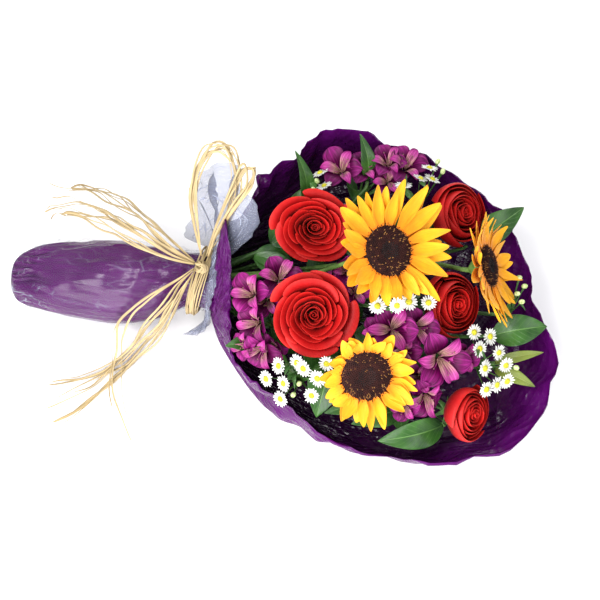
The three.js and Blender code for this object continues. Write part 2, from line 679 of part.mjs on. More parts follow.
SUNFLOWERS.forEach((sunflower, i) => {
  const disc = fuse([solidOf(seedDisc(sunflower))]);
  add(`sunflower_${i + 1}_rays`, sunflowerRays(sunflower, i), COLOURS.ray, 0.6);
  add(`sunflower_${i + 1}_disc`, disc, COLOURS.disc, 0.9);
  add(`sunflower_${i + 1}_stem`, sunflowerStem(sunflowerStems[i], sunflower), COLOURS.sunflowerStem, 0.7);
});

// ---------------------------------------------------------------- alstroemerias

/** One floret: three broad petals and three narrow ones on a funnel. */
function alstroemeriaFloret({ at, facing, radius }, hub, number) {
  const chance = seeded(300 + number);
  const middle = bentClear(vec(at), 0.35 * radius);
  const here = pose(middle, unit(facing), 360 * chance());
  const spacing = Math.PI / 3;
  const spot = (reach, angle, side, z) => bentClear(new THREE.Vector3(
    radius * (reach * Math.cos(angle) - side * Math.sin(angle)),
    radius * (reach * Math.sin(angle) + side * Math.cos(angle)),
    radius * z,
  ).applyMatrix4(here), 1.2);
  const notches = [];
  const rays = [];
  for (let i = 0; i < 6; i += 1) {
    const angle = i * spacing;
    const [half, lip, rise] = i % 2 === 0 ? [0.34, 1, 0.08] : [0.15, 0.84, 0.3];
    notches.push(spot(0.2, angle - spacing / 2, 0, -0.3));
    rays.push({
      rim: [
        spot(0.62 * lip, angle, -half, rise),
        spot(lip, angle, 0, rise - 0.06),
        spot(0.62 * lip, angle, half, rise),
      ],
      fold: i % 2 === 0 ? spot(0.56 * lip, angle, 0, rise - 0.14) : null,
    });
  }
  const neck = new THREE.Vector3(0, 0, -0.8 * radius).applyMatrix4(here);
  return rosette(spot(0, 0, 0, -0.36), notches, rays, { neck, root: vec(hub), radius: 1.2 });
}

let floretNumber = 0;
ALSTROEMERIAS.forEach(({ hub, florets }, i) => {
  const stem = alstroemeriaStems[i];
  const solids = [solidOf(rod(stem.course, stem.radius))];
  for (const floret of florets) {
    solids.push(solidOf(alstroemeriaFloret(floret, hub, floretNumber)));
    floretNumber += 1;
  }
  add(`alstroemeria_${i + 1}`, fuse(solids), COLOURS.alstroemeria, 0.55);
});

// ---------------------------------------------------------------- asters

/** An open aster: thin rays in one star about a raised button, on its branch from the hub. */
function daisy(radius, here, root) {
  const spot = (reach, step, z) => {
    const angle = (Math.PI * step) / DAISY_RAYS;
    return bentClear(new THREE.Vector3(reach * Math.cos(angle), reach * Math.sin(angle), z).applyMatrix4(here), 1.2);
  };
  const notches = [];
  const rays = [];
  for (let i = 0; i < DAISY_RAYS; i += 1) {
    notches.push(spot(0.42 * radius, 2 * i, 0));
    rays.push({ rim: [spot(radius, 2 * i + 1, 0.4)] });
  }
  const neck = new THREE.Vector3(0, 0, -3).applyMatrix4(here);
  return rosette(spot(0, 0, 1.6), notches, rays, { neck, root, radius: 0.8 });
}

const DOME_CENTRE = new THREE.Vector3(85, 5, 30); // the heads look away from here

ASTERS.forEach(({ hub, daisies, buds }, i) => {
  const stem = asterStems[i];
  const solids = [solidOf(rod(stem.course, stem.radius))];
  solids.push(solidOf(turned([[0, -3], [3, 0], [0, 3]], 5).applyMatrix4(pose(vec(hub), UP_AND_OUT))));
  const chance = seeded(400 + i);
  const heads = [...daisies.map((at) => ({ at, size: DAISY })), ...buds.map((at) => ({ at, size: BUD }))];
  for (const { at, size } of heads) {
    const middle = bentClear(vec(at), 2.5);
    const facing = middle.clone().sub(DOME_CENTRE).normalize();
    facing.add(new THREE.Vector3(chance() - 0.5, chance() - 0.9, 0.6).multiplyScalar(0.5)).normalize();
    const here = pose(middle, facing, 45 * chance());
    if (size === DAISY) {
      solids.push(solidOf(daisy(size * (0.88 + 0.12 * chance()), here, vec(hub))));
    } else {
      solids.push(solidOf(turned([[0, -size], [0.8 * size, 0], [0, size]], 4).applyMatrix4(here)));
      solids.push(solidOf(rod([vec(hub), middle], 0.9, 3)));
    }
  }
  add(`aster_${i + 1}`, fuse(solids), COLOURS.aster, 0.7);
});

// ---------------------------------------------------------------- leafy stems

/** A leaf from foot to tip, folded along its midrib and waved at its edge. */
function leaf({ foot, tip, half, face }, number) {
  const chance = seeded(500 + number);
  const from = vec(foot);
  const along = vec(tip).sub(from);
  const look = unit(face);
  const side = along.clone().cross(look).normalize();
  const outward = side.clone().cross(along).normalize();
  const rows = [[from.clone().addScaledVector(along, -3 / along.length())]];
  for (const [reach, width] of [[0.22, 0.72], [0.48, 1], [0.76, 0.68]]) {
    const arch = 0.16 * along.length() * Math.sin(Math.PI * reach);
    const wave = 2 * (chance() - 0.5);
    const spot = (offset, lift) => bentClear(
      from.clone().addScaledVector(along, reach)
        .addScaledVector(side, offset)
        .addScaledVector(outward, arch + lift),
      1.2,
    );
    rows.push([spot(-width * half, 2.5 + wave), spot(0, 0), spot(width * half, 2.5 - wave)]);
  }
  rows.push([from.clone().add(along)]);
  return blade(rows);
}

let leafNumber = 0;
LEAFY_STEMS.forEach(({ leaves, olive }, i) => {
  const stem = leafStems[i];
  const solids = [solidOf(rod(stem.course, stem.radius))];
  for (const each of leaves) {
    solids.push(solidOf(leaf(each, leafNumber)));
    leafNumber += 1;
    const root = vec(each.foot);
    if (root.distanceTo(stem.foot) > 1) solids.push(solidOf(rod([stem.foot, root], 1.2)));
  }
  add(`leaf_stem_${i + 1}`, fuse(solids), olive ? COLOURS.oliveLeaf : COLOURS.leaf, 0.4);
});

// ---------------------------------------------------------------- sleeve and clear film

/** The point at an angle of an edge, smooth through the edge's own points. */
function edgePoint(edge, degrees) {
  const last = edge.length;
  const next = edge.findIndex(([angle]) => angle > degrees);
  const i = next < 0 ? last - 1 : next - 1;
  const knot = (k) => edge[(k + last) % last];
  const span = (knot(i + 1)[0] - knot(i)[0] + 360) % 360;
  const t = (degrees - knot(i)[0]) / span;
  const piece = new THREE.CatmullRomCurve3([i - 1, i, i + 1, i + 2].map((k) => vec(knot(k).slice(1))));
  return piece.getPoint((1 + t) / 3);
}

/** The handle's sections from its closed end to the tie: place, half width and half height. */
const HANDLE = [
  { x: HANDLE_END_X + 1, y: -3, z: 31, wide: 6, high: 25 },
  { x: -270, y: -3, z: 33, wide: 21, high: 28 },
  { x: -250, y: -2, z: 37, wide: 31, high: 33 },
  { x: -212, y: -1, z: 40.5, wide: 38, high: 38 },
  { x: -170, y: 1, z: 43, wide: 40, high: 40 },
  { x: -135, y: 5, z: 46, wide: 35, high: 35 },
  { x: -116, y: 10, z: 48, wide: 28.5, high: 28.5 },
  { x: TIE.x - 9, y: TIE.y, z: TIE.z, wide: NECK_RADIUS, high: NECK_RADIUS },
  { x: TIE.x + NECK_LENGTH, y: TIE.y, z: TIE.z, wide: NECK_RADIUS, high: NECK_RADIUS },
];

/** A ring of the handle, grown by an amount and gathered towards the neck. */
function handleRing({ x, y, z, wide, high }, grow, i) {
  const ring = [];
  for (let k = 0; k < AROUND; k += 1) {
    const angle = (2 * Math.PI * k) / AROUND;
    const gather = NECK_PLEAT * smoothstep(i, 2, 7) * (k % 2 === 0 ? 1 : -1);
    ring.push(new THREE.Vector3(
      x,
      y - (wide + grow + gather) * Math.sin(angle),
      z + (high + grow + gather) * Math.cos(angle),
    ));
  }
  return ring;
}

/** A thin shell from rings of points, closed at its first end by a point and open at its last. */
function shell(end, rings, wall) {
  const count = rings[0].length;
  const points = [end, ...rings.flat()];
  const at = (ring, k) => 1 + ring * count + ((k + count) % count);
  const faces = [];
  for (let k = 0; k < count; k += 1) faces.push([0, at(0, k + 1), at(0, k)]);
  for (let i = 0; i < rings.length - 1; i += 1) {
    for (let k = 0; k < count; k += 1) {
      faces.push([at(i, k), at(i + 1, k + 1), at(i + 1, k)], [at(i, k), at(i, k + 1), at(i + 1, k + 1)]);
    }
  }
  const normals = points.map(() => new THREE.Vector3());
  for (const [a, b, c] of faces) {
    const ab = points[b].clone().sub(points[a]);
    const ac = points[c].clone().sub(points[a]);
    const normal = ab.cross(ac);
    for (const corner of [a, b, c]) normals[corner].add(normal);
  }
  const positions = points.flatMap((p) => [p.x, p.y, p.z]);
  points.forEach((p, i) => {
    const inner = p.clone().addScaledVector(normals[i].normalize(), -wall);
    positions.push(inner.x, inner.y, inner.z);
  });
  const total = points.length;
  const index = faces.flatMap(([a, b, c]) => [a, b, c, total + c, total + b, total + a]);
  const last = rings.length - 1;
  for (let k = 0; k < count; k += 1) {
    const [a, b] = [at(last, k), at(last, k + 1)];
    index.push(a, b, total + a, b, total + b, total + a);
  }
  const geometry = new THREE.BufferGeometry();
  geometry.setAttribute("position", new THREE.Float32BufferAttribute(positions, 3));
  geometry.setIndex(index);
  return geometry;
}

/** The sleeve beyond the tie: every line of the sheet runs out, down to the surface and up to the rim. */
function cupRings(steps) {
  const lines = [];
  for (let k = 0; k < AROUND; k += 1) {
    const degrees = (360 * k) / AROUND;
    const angle = radians(degrees);
    const radial = new THREE.Vector3(0, -Math.sin(angle), Math.cos(angle));
    const gather = NECK_PLEAT * (k % 2 === 0 ? 1 : -1);
    const start = TIE.clone().addScaledVector(radial, NECK_RADIUS + gather);
    start.x += NECK_LENGTH;
    const rim = edgePoint(RIM, degrees);
    const reach = Math.hypot(rim.x - TIE.x, rim.y - TIE.y);
    const far = smoothstep(reach, 50, 170);
    const leave = start.clone().addScaledVector(radial, 0.25 * reach).add(new THREE.Vector3(0.13 * reach, 0, 0));
    const low = new THREE.Vector3(lerp(TIE.x, rim.x, 0.9), rim.y, -19);
    const arrive = start.clone().lerp(rim, 0.66).lerp(low, far);
    lines.push(new THREE.CubicBezierCurve3(start, leave, arrive, rim));
  }
  const rings = [];
  for (let i = 1; i <= steps; i += 1) {
    rings.push(lines.map((line) => {
      const point = line.getPoint(i / steps);
      return point.setZ(Math.max(point.z, 0));
    }));
  }
  return rings;
}

const sleeveRings = HANDLE.map((section, i) => handleRing(section, 0, i));
const sleeveEnd = new THREE.Vector3(HANDLE_END_X, HANDLE[0].y, HANDLE[0].z);
add("purple_sleeve", shell(sleeveEnd, [...sleeveRings, ...cupRings(6)], SLEEVE_WALL), COLOURS.sleeve, 0.3);

/** The clear film's edge past the tie: a tall fan behind and a low flare in front. */
const FILM_RIM = [
  [0, -81, 14, 89], [30, -81, -8, 82], [60, -81, -22, 69], [90, -86, -30, 50], [110, -98, -36, 32],
  [130, -106, -42, 10], [150, -101, -25, 4], [172, -84, 6, 10], [200, -81, 26, 12], [230, -81, 44, 24],
  [255, -84, 52, 42], [277, -100, 56, 58], [290, -111, 58, 82], [300, -109, 68, 112], [310, -99, 83, 134],
  [320, -85, 91, 141], [330, -72, 88, 131], [338, -70, 78, 118], [345, -78, 58, 104], [352, -82, 32, 90],
];

/** Rings of the flare, from the neck to the film's edge, crinkled more towards the edge. */
function flareRings(grow, steps) {
  const rings = Array.from({ length: steps }, () => []);
  for (let k = 0; k < AROUND; k += 1) {
    const degrees = (360 * k) / AROUND;
    const radial = new THREE.Vector3(0, -Math.sin(radians(degrees)), Math.cos(radians(degrees)));
    const side = k % 2 === 0 ? 1 : -1;
    const start = TIE.clone().addScaledVector(radial, NECK_RADIUS + grow + side * NECK_PLEAT);
    start.x += NECK_LENGTH - 3;
    const edge = edgePoint(FILM_RIM, degrees);
    const reach = edge.distanceTo(start);
    const bend = new THREE.QuadraticBezierCurve3(start, start.clone().addScaledVector(radial, 0.5 * reach), edge);
    for (let i = 0; i < steps; i += 1) {
      const point = bend.getPoint((i + 1) / steps);
      point.x += side * 0.035 * reach * ((i + 1) / steps);
      rings[i].push(point.setZ(Math.max(point.z, 0.6)));
    }
  }
  return rings;
}

const filmGrow = FILM_GAP + FILM_WALL;
const filmRings = HANDLE.map((section, i) => {
  const shift = i === HANDLE.length - 1 ? -3 : Math.min(0, i - 2);
  return handleRing({ ...section, x: section.x + shift }, filmGrow, i);
});
const filmEnd = new THREE.Vector3(HANDLE_END_X - 3, HANDLE[0].y, HANDLE[0].z);
const film = shell(filmEnd, [...filmRings, ...flareRings(filmGrow, 3)], FILM_WALL);
add("clear_film", film, COLOURS.film, 0.15, 0.35);

// ---------------------------------------------------------------- raffia

const BAND_SIDES = 16;
const BAND_INNER = (NECK_RADIUS + NECK_PLEAT + filmGrow + SEAT_GAP) / Math.cos(Math.PI / BAND_SIDES);
const STRAND = 1.5; // radius of a strand
const KNOT = new THREE.Vector3(TIE.x + 1, TIE.y - 4, TIE.z + BAND_INNER + 5);

/** The wound band: ridged strands side by side round the neck, with the knot on top. */
function raffiaBand() {
  const half = BAND_WIDTH / 2;
  const profile = [[BAND_INNER, -half], [BAND_INNER, half]];
  for (let i = 0; i <= 6; i += 1) {
    profile.push([BAND_INNER + (i % 2 === 0 ? 1.6 : 3.4), half - (i * BAND_WIDTH) / 6]);
  }
  profile.push(profile[0]);
  const wound = turned(profile, BAND_SIDES).applyMatrix4(pose(TIE, new THREE.Vector3(1, 0, 0)));
  const knot = closed(new THREE.IcosahedronGeometry(1, 0)).scale(7, 8, 6).translate(KNOT.x, KNOT.y, KNOT.z);
  return fuse([solidOf(wound), solidOf(knot)]);
}

// Strands, each as the points it runs through, from the knot outward.
const BOW_LOOPS = [
  [[-98, 18.2, 87.4], [-101, 30.2, 104.4], [-106, 48.2, 128.4], [-106, 68.2, 150.4], [-97, 84.2, 162.4], [-84, 89.2, 163.4],
    [-73, 80.2, 152.4], [-73, 60.2, 129.4], [-80, 42.2, 108.4], [-92, 22.2, 89.4]],
  [[-97, 18.2, 86.4], [-106, 36.2, 112.4], [-111, 56.2, 138.4], [-106, 76.2, 157.4], [-93, 90.2, 168.4], [-79, 90.2, 166.4],
    [-69, 76.2, 152.4], [-69, 56.2, 126.4], [-78, 38.2, 104.4], [-92, 20.2, 87.4]],
  [[-93, 18.2, 86.4], [-86, 40.2, 110.4], [-76, 60.2, 136.4], [-66, 74.2, 154.4], [-58, 78.2, 159.4], [-57, 70.2, 148.4],
    [-68, 54.2, 130.4], [-84, 34.2, 106.4], [-91, 18.2, 87.4]],
];
const TAILS_BACK = [
  [[-102.4, 10, 87], [-126, 18, 94], [-150, 34, 94], [-182, 62, 74], [-216, 92, 44], [-250, 112, 18], [-278, 124, 2]],
  [[-102.4, 11, 86], [-124, 24, 93], [-150, 44, 90], [-180, 76, 64], [-210, 102, 34], [-238, 116, 12], [-256, 120, 2]],
  [[-102.4, 9, 86], [-128, 12, 93], [-158, 24, 96], [-196, 50, 84], [-232, 74, 54], [-258, 86, 24], [-276, 90, 2]],
  [[-102.4, 8, 87], [-130, 8, 92], [-160, 14, 96], [-198, 32, 92], [-234, 50, 72], [-256, 58, 46]],
  [[-102.4, 10, 85], [-126, 16, 92], [-156, 30, 92], [-190, 46, 82], [-222, 56, 68], [-244, 58, 54]],
];
const TAILS_FRONT = [
  [[-101.5, 2.5, 83], [-107, -12.5, 78], [-116, -28, 58], [-130, -42, 28], [-152, -62, 3], [-178, -96, 2], [-214, -137, 2]],
  [[-101.5, 1.5, 84], [-109, -14.5, 79], [-122, -32, 58], [-140, -47, 26], [-164, -66, 3], [-190, -93, 2], [-222, -116, 2]],
  [[-101.5, 3.5, 85], [-113, -13.5, 82], [-127, -33, 60], [-148, -49, 30], [-172, -68, 3], [-198, -86, 2], [-230, -98, 2]],
  [[-101.5, 4.5, 86], [-115, -10.5, 87], [-144, -32, 78], [-164, -46, 54], [-170, -56, 24], [-170, -76, 7], [-160, -112, 6],
    [-138, -144, 2]],
];

/** Strands that part from one knot, as one body. */
function strands(courses) {
  return fuse(courses.map((course) => solidOf(rod(course.map(vec), STRAND, 3))));
}

add("raffia_band", raffiaBand(), COLOURS.raffia, 0.8);
add("raffia_loops", strands(BOW_LOOPS), COLOURS.raffia, 0.8);
add("raffia_tails_back", strands(TAILS_BACK), COLOURS.raffia, 0.8);
add("raffia_tails_front", strands(TAILS_FRONT), COLOURS.raffia, 0.8);

export default parts;
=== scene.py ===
"""A mixed bouquet of cut flowers lying on its side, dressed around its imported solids.

Places are written in millimetres in the frame of the solids. Pieces are scaled to metres as they
are finished.
"""

from __future__ import annotations

import json
import logging
import math
from collections.abc import Callable, Sequence
from dataclasses import dataclass, field
from enum import Enum, IntEnum
from typing import Any

import bmesh
import bpy
from mathutils import Matrix, Vector, noise

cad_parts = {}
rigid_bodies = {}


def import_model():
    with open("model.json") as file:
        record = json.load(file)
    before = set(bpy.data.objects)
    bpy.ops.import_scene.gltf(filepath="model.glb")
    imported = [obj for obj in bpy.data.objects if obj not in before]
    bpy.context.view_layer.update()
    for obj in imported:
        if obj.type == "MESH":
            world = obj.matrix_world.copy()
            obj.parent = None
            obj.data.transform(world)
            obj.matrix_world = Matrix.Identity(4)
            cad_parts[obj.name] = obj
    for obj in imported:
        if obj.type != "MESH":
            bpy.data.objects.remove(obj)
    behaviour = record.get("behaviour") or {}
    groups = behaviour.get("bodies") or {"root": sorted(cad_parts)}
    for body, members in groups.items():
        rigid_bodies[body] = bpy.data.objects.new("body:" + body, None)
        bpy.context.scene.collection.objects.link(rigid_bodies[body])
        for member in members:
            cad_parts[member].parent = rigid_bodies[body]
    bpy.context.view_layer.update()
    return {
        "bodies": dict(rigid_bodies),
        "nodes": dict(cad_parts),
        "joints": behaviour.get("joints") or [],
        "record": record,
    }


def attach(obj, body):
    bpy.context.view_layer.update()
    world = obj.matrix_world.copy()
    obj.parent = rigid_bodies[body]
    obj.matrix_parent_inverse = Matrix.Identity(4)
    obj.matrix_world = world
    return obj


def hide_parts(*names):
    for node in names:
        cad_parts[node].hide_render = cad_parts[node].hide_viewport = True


LOG = logging.getLogger("bouquet")
MM = 0.001
ROOT = "root"
WELD = 1e-3  # how close points are joined, in millimetres
SOLID_WELD = 2e-3  # the same for a solid's points
BEND_STEPS = 60  # the most steps of a millimetre by which a point is bent clear
SIGHT_MARGIN = 2.0  # how far about a bloom a leaf still counts as hiding it

Colour = tuple[float, float, float]
Point = tuple[float, float, float]
Placer = Callable[[float, float], Vector]
Frame = dict[str, Any]
Sockets = dict[str, bpy.types.NodeSocket]


class Slot(Enum):
    """The record's material slots."""

    ROSE = "rose_petal"
    ROSE_STEM = "rose_stem"
    RAY = "sunflower_ray"
    DISC = "sunflower_disc"
    SUNFLOWER_STEM = "sunflower_stem"
    ALSTROEMERIA = "alstroemeria"
    ASTER = "aster"
    LEAF = "leaf"
    OLIVE_LEAF = "olive_leaf"
    PURPLE_FILM = "purple_film"
    CLEAR_FILM = "clear_film"
    RAFFIA = "raffia"


class RoseForm(Enum):
    """How far a rose has opened."""

    OPEN = "open"
    CUP = "cup"


class Seed(IntEnum):
    """Where each kind of piece starts its own streams of numbers."""

    BAND = 77
    ROSE = 100
    SUNFLOWER = 200
    FLORET = 300
    SMALL_FLORET = 340
    ASTER_HEAD = 400
    LEAF = 500
    ASTER_RAY = 700
    STRAND = 800
    ROSE_LEAF = 900
    SUNFLOWER_LEAF = 930
    ALSTROEMERIA_LEAF = 960
    ASTER_LEAF = 990


STRAND_STEP = 17  # between the seeds of two strands
LEAF_STEP = 7  # between the seeds of two stems' leaves

# ---------------------------------------------------------------- places, in the frame of the solids


@dataclass(frozen=True)
class Bloom:
    """A bloom by the middle of its face, the way it faces, its radius and, if it has one, its disc's radius.

    A rose has its form and may be wider than tall. A sunflower's rays may be longer on one side, and
    cupped forward.
    """

    at: Point
    facing: Point
    radius: float
    turn: float = 0.0
    disc: float = 0.0
    form: RoseForm = RoseForm.OPEN
    wide: float = 1.0
    tall: float = 1.0
    spread: float = 1.0
    lopsided: float = 0.0
    long_way: float = 0.0
    cupped: float = 0.0


@dataclass(frozen=True)
class Spray:
    """An aster spray: the hub of its branches, its open heads and its buds."""

    hub: Point
    daisies: tuple[Point, ...]
    buds: tuple[Point, ...] = ()


@dataclass(frozen=True)
class FloretStem:
    """A stem of alstroemeria: its branches' hub, its florets and the smaller ones below them."""

    hub: Point
    florets: tuple[Bloom, ...]
    small: tuple[Bloom, ...]


@dataclass(frozen=True)
class LeafPlace:
    """A leaf from its foot to its tip, with its half width and the way its face looks."""

    foot: Point
    tip: Point
    half: float
    face: Point


TIE = Vector((-97, 12, 49))
NECK_RADIUS = 26.0
NECK_PLEAT = 1.0
NECK_LENGTH = 12.0
HANDLE_END = Vector((-281, -3, 31))
CUP_MIDDLE = Vector((90, 10, 0))
FILM_GROW = 2.0
BAND_INNER = 29.87

ROSES = (
    Bloom((8, 43, 126), (0.2, -0.48, 0.85), 38, 20, wide=1.08, tall=0.9),
    Bloom((20, -45, 120), (0.13, -0.5, 0.86), 41, 75),
    Bloom((142, 97, 98), (0.65, -0.16, 0.74), 34, 130, form=RoseForm.CUP),
    Bloom((147, -1, 96), (0.68, -0.31, 0.67), 34, 10, form=RoseForm.CUP),
    Bloom((175, -97, 70), (0.78, -0.29, 0.56), 29, 45, form=RoseForm.CUP),
)
SUNFLOWERS = (
    Bloom((79, 6, 166), (0.47, -0.27, 0.84), 57, disc=24,
          spread=1.12, lopsided=0.18, long_way=60, cupped=5),
    Bloom((75, -94, 112), (0.23, -0.68, 0.69), 48, disc=24,
          spread=1.0, lopsided=0.16, long_way=-40, cupped=4),
    Bloom((171, 33, 116), (0.88, 0.08, 0.47), 46, disc=20,
          spread=1.2, lopsided=0.1, long_way=-90, cupped=11),
)
ALSTROEMERIAS = (
    FloretStem((-28, -18, 70), (Bloom((-18, -2, 104), (0.13, -0.21, 0.97), 19),
                                Bloom((-44, -23, 104), (-0.31, -0.3, 0.9), 18)),
               (Bloom((-28, -20, 88), (0.1, -0.5, 0.85), 15),)),
    FloretStem((-22, -42, 55), (Bloom((-36, -48, 92), (-0.42, -0.56, 0.71), 17),
                                Bloom((-26, -71, 82), (-0.22, -0.83, 0.51), 17)),
               (Bloom((-42, -66, 80), (-0.5, -0.6, 0.6), 13), Bloom((-14, -62, 80), (0.2, -0.6, 0.75), 14))),
    FloretStem((40, 112, 70), (Bloom((20, 120, 112), (-0.07, -0.19, 0.98), 19),
                               Bloom((64, 136, 110), (0, -0.02, 1), 16),
                               Bloom((82, 138, 106), (0.16, -0.05, 0.99), 18)),
               (Bloom((42, 128, 106), (0, -0.1, 1), 16), Bloom((66, 120, 100), (0, -0.4, 0.9), 14))),
    FloretStem((96, -40, 78), (Bloom((92, -47, 117), (0.07, -0.46, 0.88), 22),
                               Bloom((116, -38, 110), (0.33, -0.49, 0.8), 18)),
               (Bloom((104, -60, 100), (0.1, -0.7, 0.7), 16), Bloom((78, -42, 100), (-0.2, -0.3, 0.9), 14))),
    FloretStem((126, -62, 55), (Bloom((141, -60, 96), (0.3, -0.59, 0.75), 24),
                                Bloom((132, -90, 72), (0.22, -0.76, 0.62), 19)),
               (Bloom((160, -50, 86), (0.4, -0.5, 0.75), 15), Bloom((122, -74, 80), (0, -0.6, 0.75), 15),
                Bloom((112, -98, 66), (-0.1, -0.7, 0.65), 13))),
    FloretStem((42, 4, 66), (Bloom((43, 16, 100), (0.17, -0.45, 0.88), 15),),
               (Bloom((22, 4, 92), (0, -0.3, 0.95), 15), Bloom((52, -4, 98), (0.2, -0.4, 0.9), 13))),
)
ASTERS = (
    Spray((98, 108, 74), ((104, 134, 110), (97, 121, 110), (111, 121, 106), (82, 108, 114)),
          ((111, 144, 108), (117, 135, 106))),
    Spray((2, 88, 76), ((2, 111, 112), (8, 98, 111)), ((-2, 94, 108), (0, 103, 110))),
    Spray((92, -12, 96), ((79, -37, 145), (105, -22, 141), (92, -40, 152), (80, -20, 147), (121, -17, 122))),
    Spray((172, -44, 62), ((173, -42, 94), (180, -59, 90), (181, -27, 92), (166, -27, 96), (191, -39, 86),
                           (199, -49, 82), (202, -62, 76), (193, -69, 80), (184, -75, 80)),
          ((209, -48, 78),)),
    Spray((12, -82, 58), ((-6, -86, 90), (-16, -96, 80), (1, -102, 88), (17, -87, 94), (31, -94, 92),
                          (28, -109, 86), (0, -113, 78), (11, -73, 92), (37, -78, 92)),
          ((15, -99, 86), (11, -108, 80))),
    Spray((198, 18, 58), (), ((202, 43, 84), (208, 36, 82), (202, 28, 80), (207, 19, 82))),
)
LEAFY_STEMS = (
    (LeafPlace((-10, 88, 86), (-24, 121, 130), 10, (0.8, -0.6, 0.2)),),
    (LeafPlace((46, 122, 92), (34, 152, 126), 9, (0.6, -0.7, 0.3)),),
    (LeafPlace((150, 78, 70), (199, 121, 84), 16, (0.2, -0.4, 0.9)),),
    (LeafPlace((184, -10, 62), (234, 5, 67), 17, (0.1, -0.3, 0.95)),),
    (LeafPlace((150, -96, 34), (92, -127, 47), 16, (0.1, -0.6, 0.8)),),
    (LeafPlace((108, -88, 40), (66, -118, 56), 13, (0, -0.5, 0.85)),
     LeafPlace((88, -80, 42), (40, -112, 58), 12, (-0.2, -0.5, 0.8))),
    (LeafPlace((190, -32, 50), (234, -19, 60), 6, (0, -0.3, 0.95)),
     LeafPlace((190, -38, 50), (230, -53, 54), 8, (0, -0.3, 0.95))),
    (LeafPlace((-38, -52, 62), (-59, -70, 82), 9, (-0.3, -0.5, 0.8)),),
)
OLIVE_STEM = 6  # the leafy stem with olive leaves

# Each rim: the angle at the tie that a point is gathered from, then the point. Parts of both rims, and
# the handle's first sections, keep closer to the photograph than the solids do.
SLEEVE_RIM = (
    (0, -71, 41, 118), (20, -62, 8, 103), (45, -57, -25, 92), (70, -55, -52, 78), (90, -42, -75, 66),
    (105, -20, -90, 58), (120, 20, -110, 50), (135, 70, -126, 44), (150, 120, -133, 41),
    (163, 175, -118, 37), (172, 221, -94, 38), (180, 234, -60, 46), (190, 242, -10, 58),
    (202, 216, 32, 64), (217, 198, 68, 72), (233, 168, 112, 82), (241, 149, 130, 85), (250, 117, 142, 90),
    (267, 68, 155, 102), (283, 17, 157, 118), (298, -17, 130, 119), (315, -39, 100, 117),
    (328, -49, 84, 116), (345, -70, 62, 86),
)
FILM_RIM = (
    (0, -71, 20, 88), (30, -78, -8, 82), (60, -80, -24, 66), (85, -84, -34, 46), (102, -92, -36, 28),
    (120, -103, -30, 14), (138, -104, -27, 6), (155, -94, -20, 3), (172, -84, 2, 8), (200, -81, 26, 12),
    (230, -81, 44, 24), (255, -92, 50, 42), (277, -115, 49, 62), (288, -114, 60, 86), (298, -109, 72, 112),
    (307, -102, 82, 134), (315, -90, 86, 146), (323, -73, 85, 149), (331, -57, 75, 146), (338, -46, 60, 134),
    (346, -44, 46, 114), (353, -55, 34, 98),
)
# The handle's sections: x, y, z, half width and half height.
HANDLE = (
    (-281, -3, 31, 15, 20), (-272, -3, 33, 24, 26), (-252, -2, 37, 31, 33), (-212, -1, 40.5, 38, 38),
    (-170, 1, 43, 40, 40), (-135, 5, 46, 35, 35), (-116, 10, 48, 28.5, 28.5), (-106, 12, 49, 26, 26),
    (-85, 12, 49, 26, 26),
)
BOW_LOOPS = (
    ((-98, 18.2, 87.4), (-101, 30.2, 104.4), (-106, 48.2, 128.4), (-106, 68.2, 150.4), (-97, 84.2, 162.4),
     (-84, 89.2, 163.4), (-73, 80.2, 152.4), (-73, 60.2, 129.4), (-80, 42.2, 108.4), (-92, 22.2, 89.4)),
    ((-97, 18.2, 86.4), (-106, 36.2, 112.4), (-111, 56.2, 138.4), (-106, 76.2, 157.4), (-93, 90.2, 168.4),
     (-79, 90.2, 166.4), (-69, 76.2, 152.4), (-69, 56.2, 126.4), (-78, 38.2, 104.4), (-92, 20.2, 87.4)),
    ((-93, 18.2, 86.4), (-86, 40.2, 110.4), (-76, 60.2, 136.4), (-66, 74.2, 154.4), (-58, 78.2, 159.4),
     (-57, 70.2, 148.4), (-68, 54.2, 130.4), (-84, 34.2, 106.4), (-91, 18.2, 87.4)),
)
TAILS_BACK = (
    ((-102.4, 10, 87), (-126, 18, 94), (-150, 34, 94), (-182, 62, 74), (-216, 92, 44), (-250, 112, 18),
     (-278, 124, 2)),
    ((-102.4, 11, 86), (-124, 24, 93), (-150, 44, 90), (-180, 76, 64), (-210, 102, 34), (-238, 116, 12),
     (-256, 120, 2)),
    ((-102.4, 9, 86), (-128, 12, 93), (-158, 24, 96), (-196, 50, 84), (-232, 74, 54), (-258, 86, 24),
     (-276, 90, 2)),
    ((-102.4, 8, 87), (-130, 8, 92), (-160, 14, 96), (-198, 32, 92), (-234, 50, 72), (-256, 58, 46)),
    ((-102.4, 10, 85), (-126, 16, 92), (-156, 30, 92), (-190, 46, 82), (-222, 56, 68), (-244, 58, 54)),
)
TAILS_FRONT = (
    ((-101.5, 2.5, 83), (-107, -12.5, 78), (-116, -28, 58), (-130, -42, 28), (-152, -62, 3), (-178, -96, 2),
     (-214, -137, 2)),
    ((-101.5, 1.5, 84), (-109, -14.5, 79), (-122, -32, 58), (-140, -47, 26), (-164, -66, 3), (-190, -93, 2),
     (-222, -116, 2)),
    ((-101.5, 3.5, 85), (-113, -13.5, 82), (-127, -33, 60), (-148, -49, 30), (-172, -68, 3), (-198, -86, 2),
     (-230, -98, 2)),
    ((-101.5, 4.5, 86), (-115, -10.5, 87), (-144, -32, 78), (-164, -46, 54), (-170, -56, 24), (-170, -76, 7),
     (-160, -112, 6), (-138, -144, 2)),
)


# ---------------------------------------------------------------- small helpers


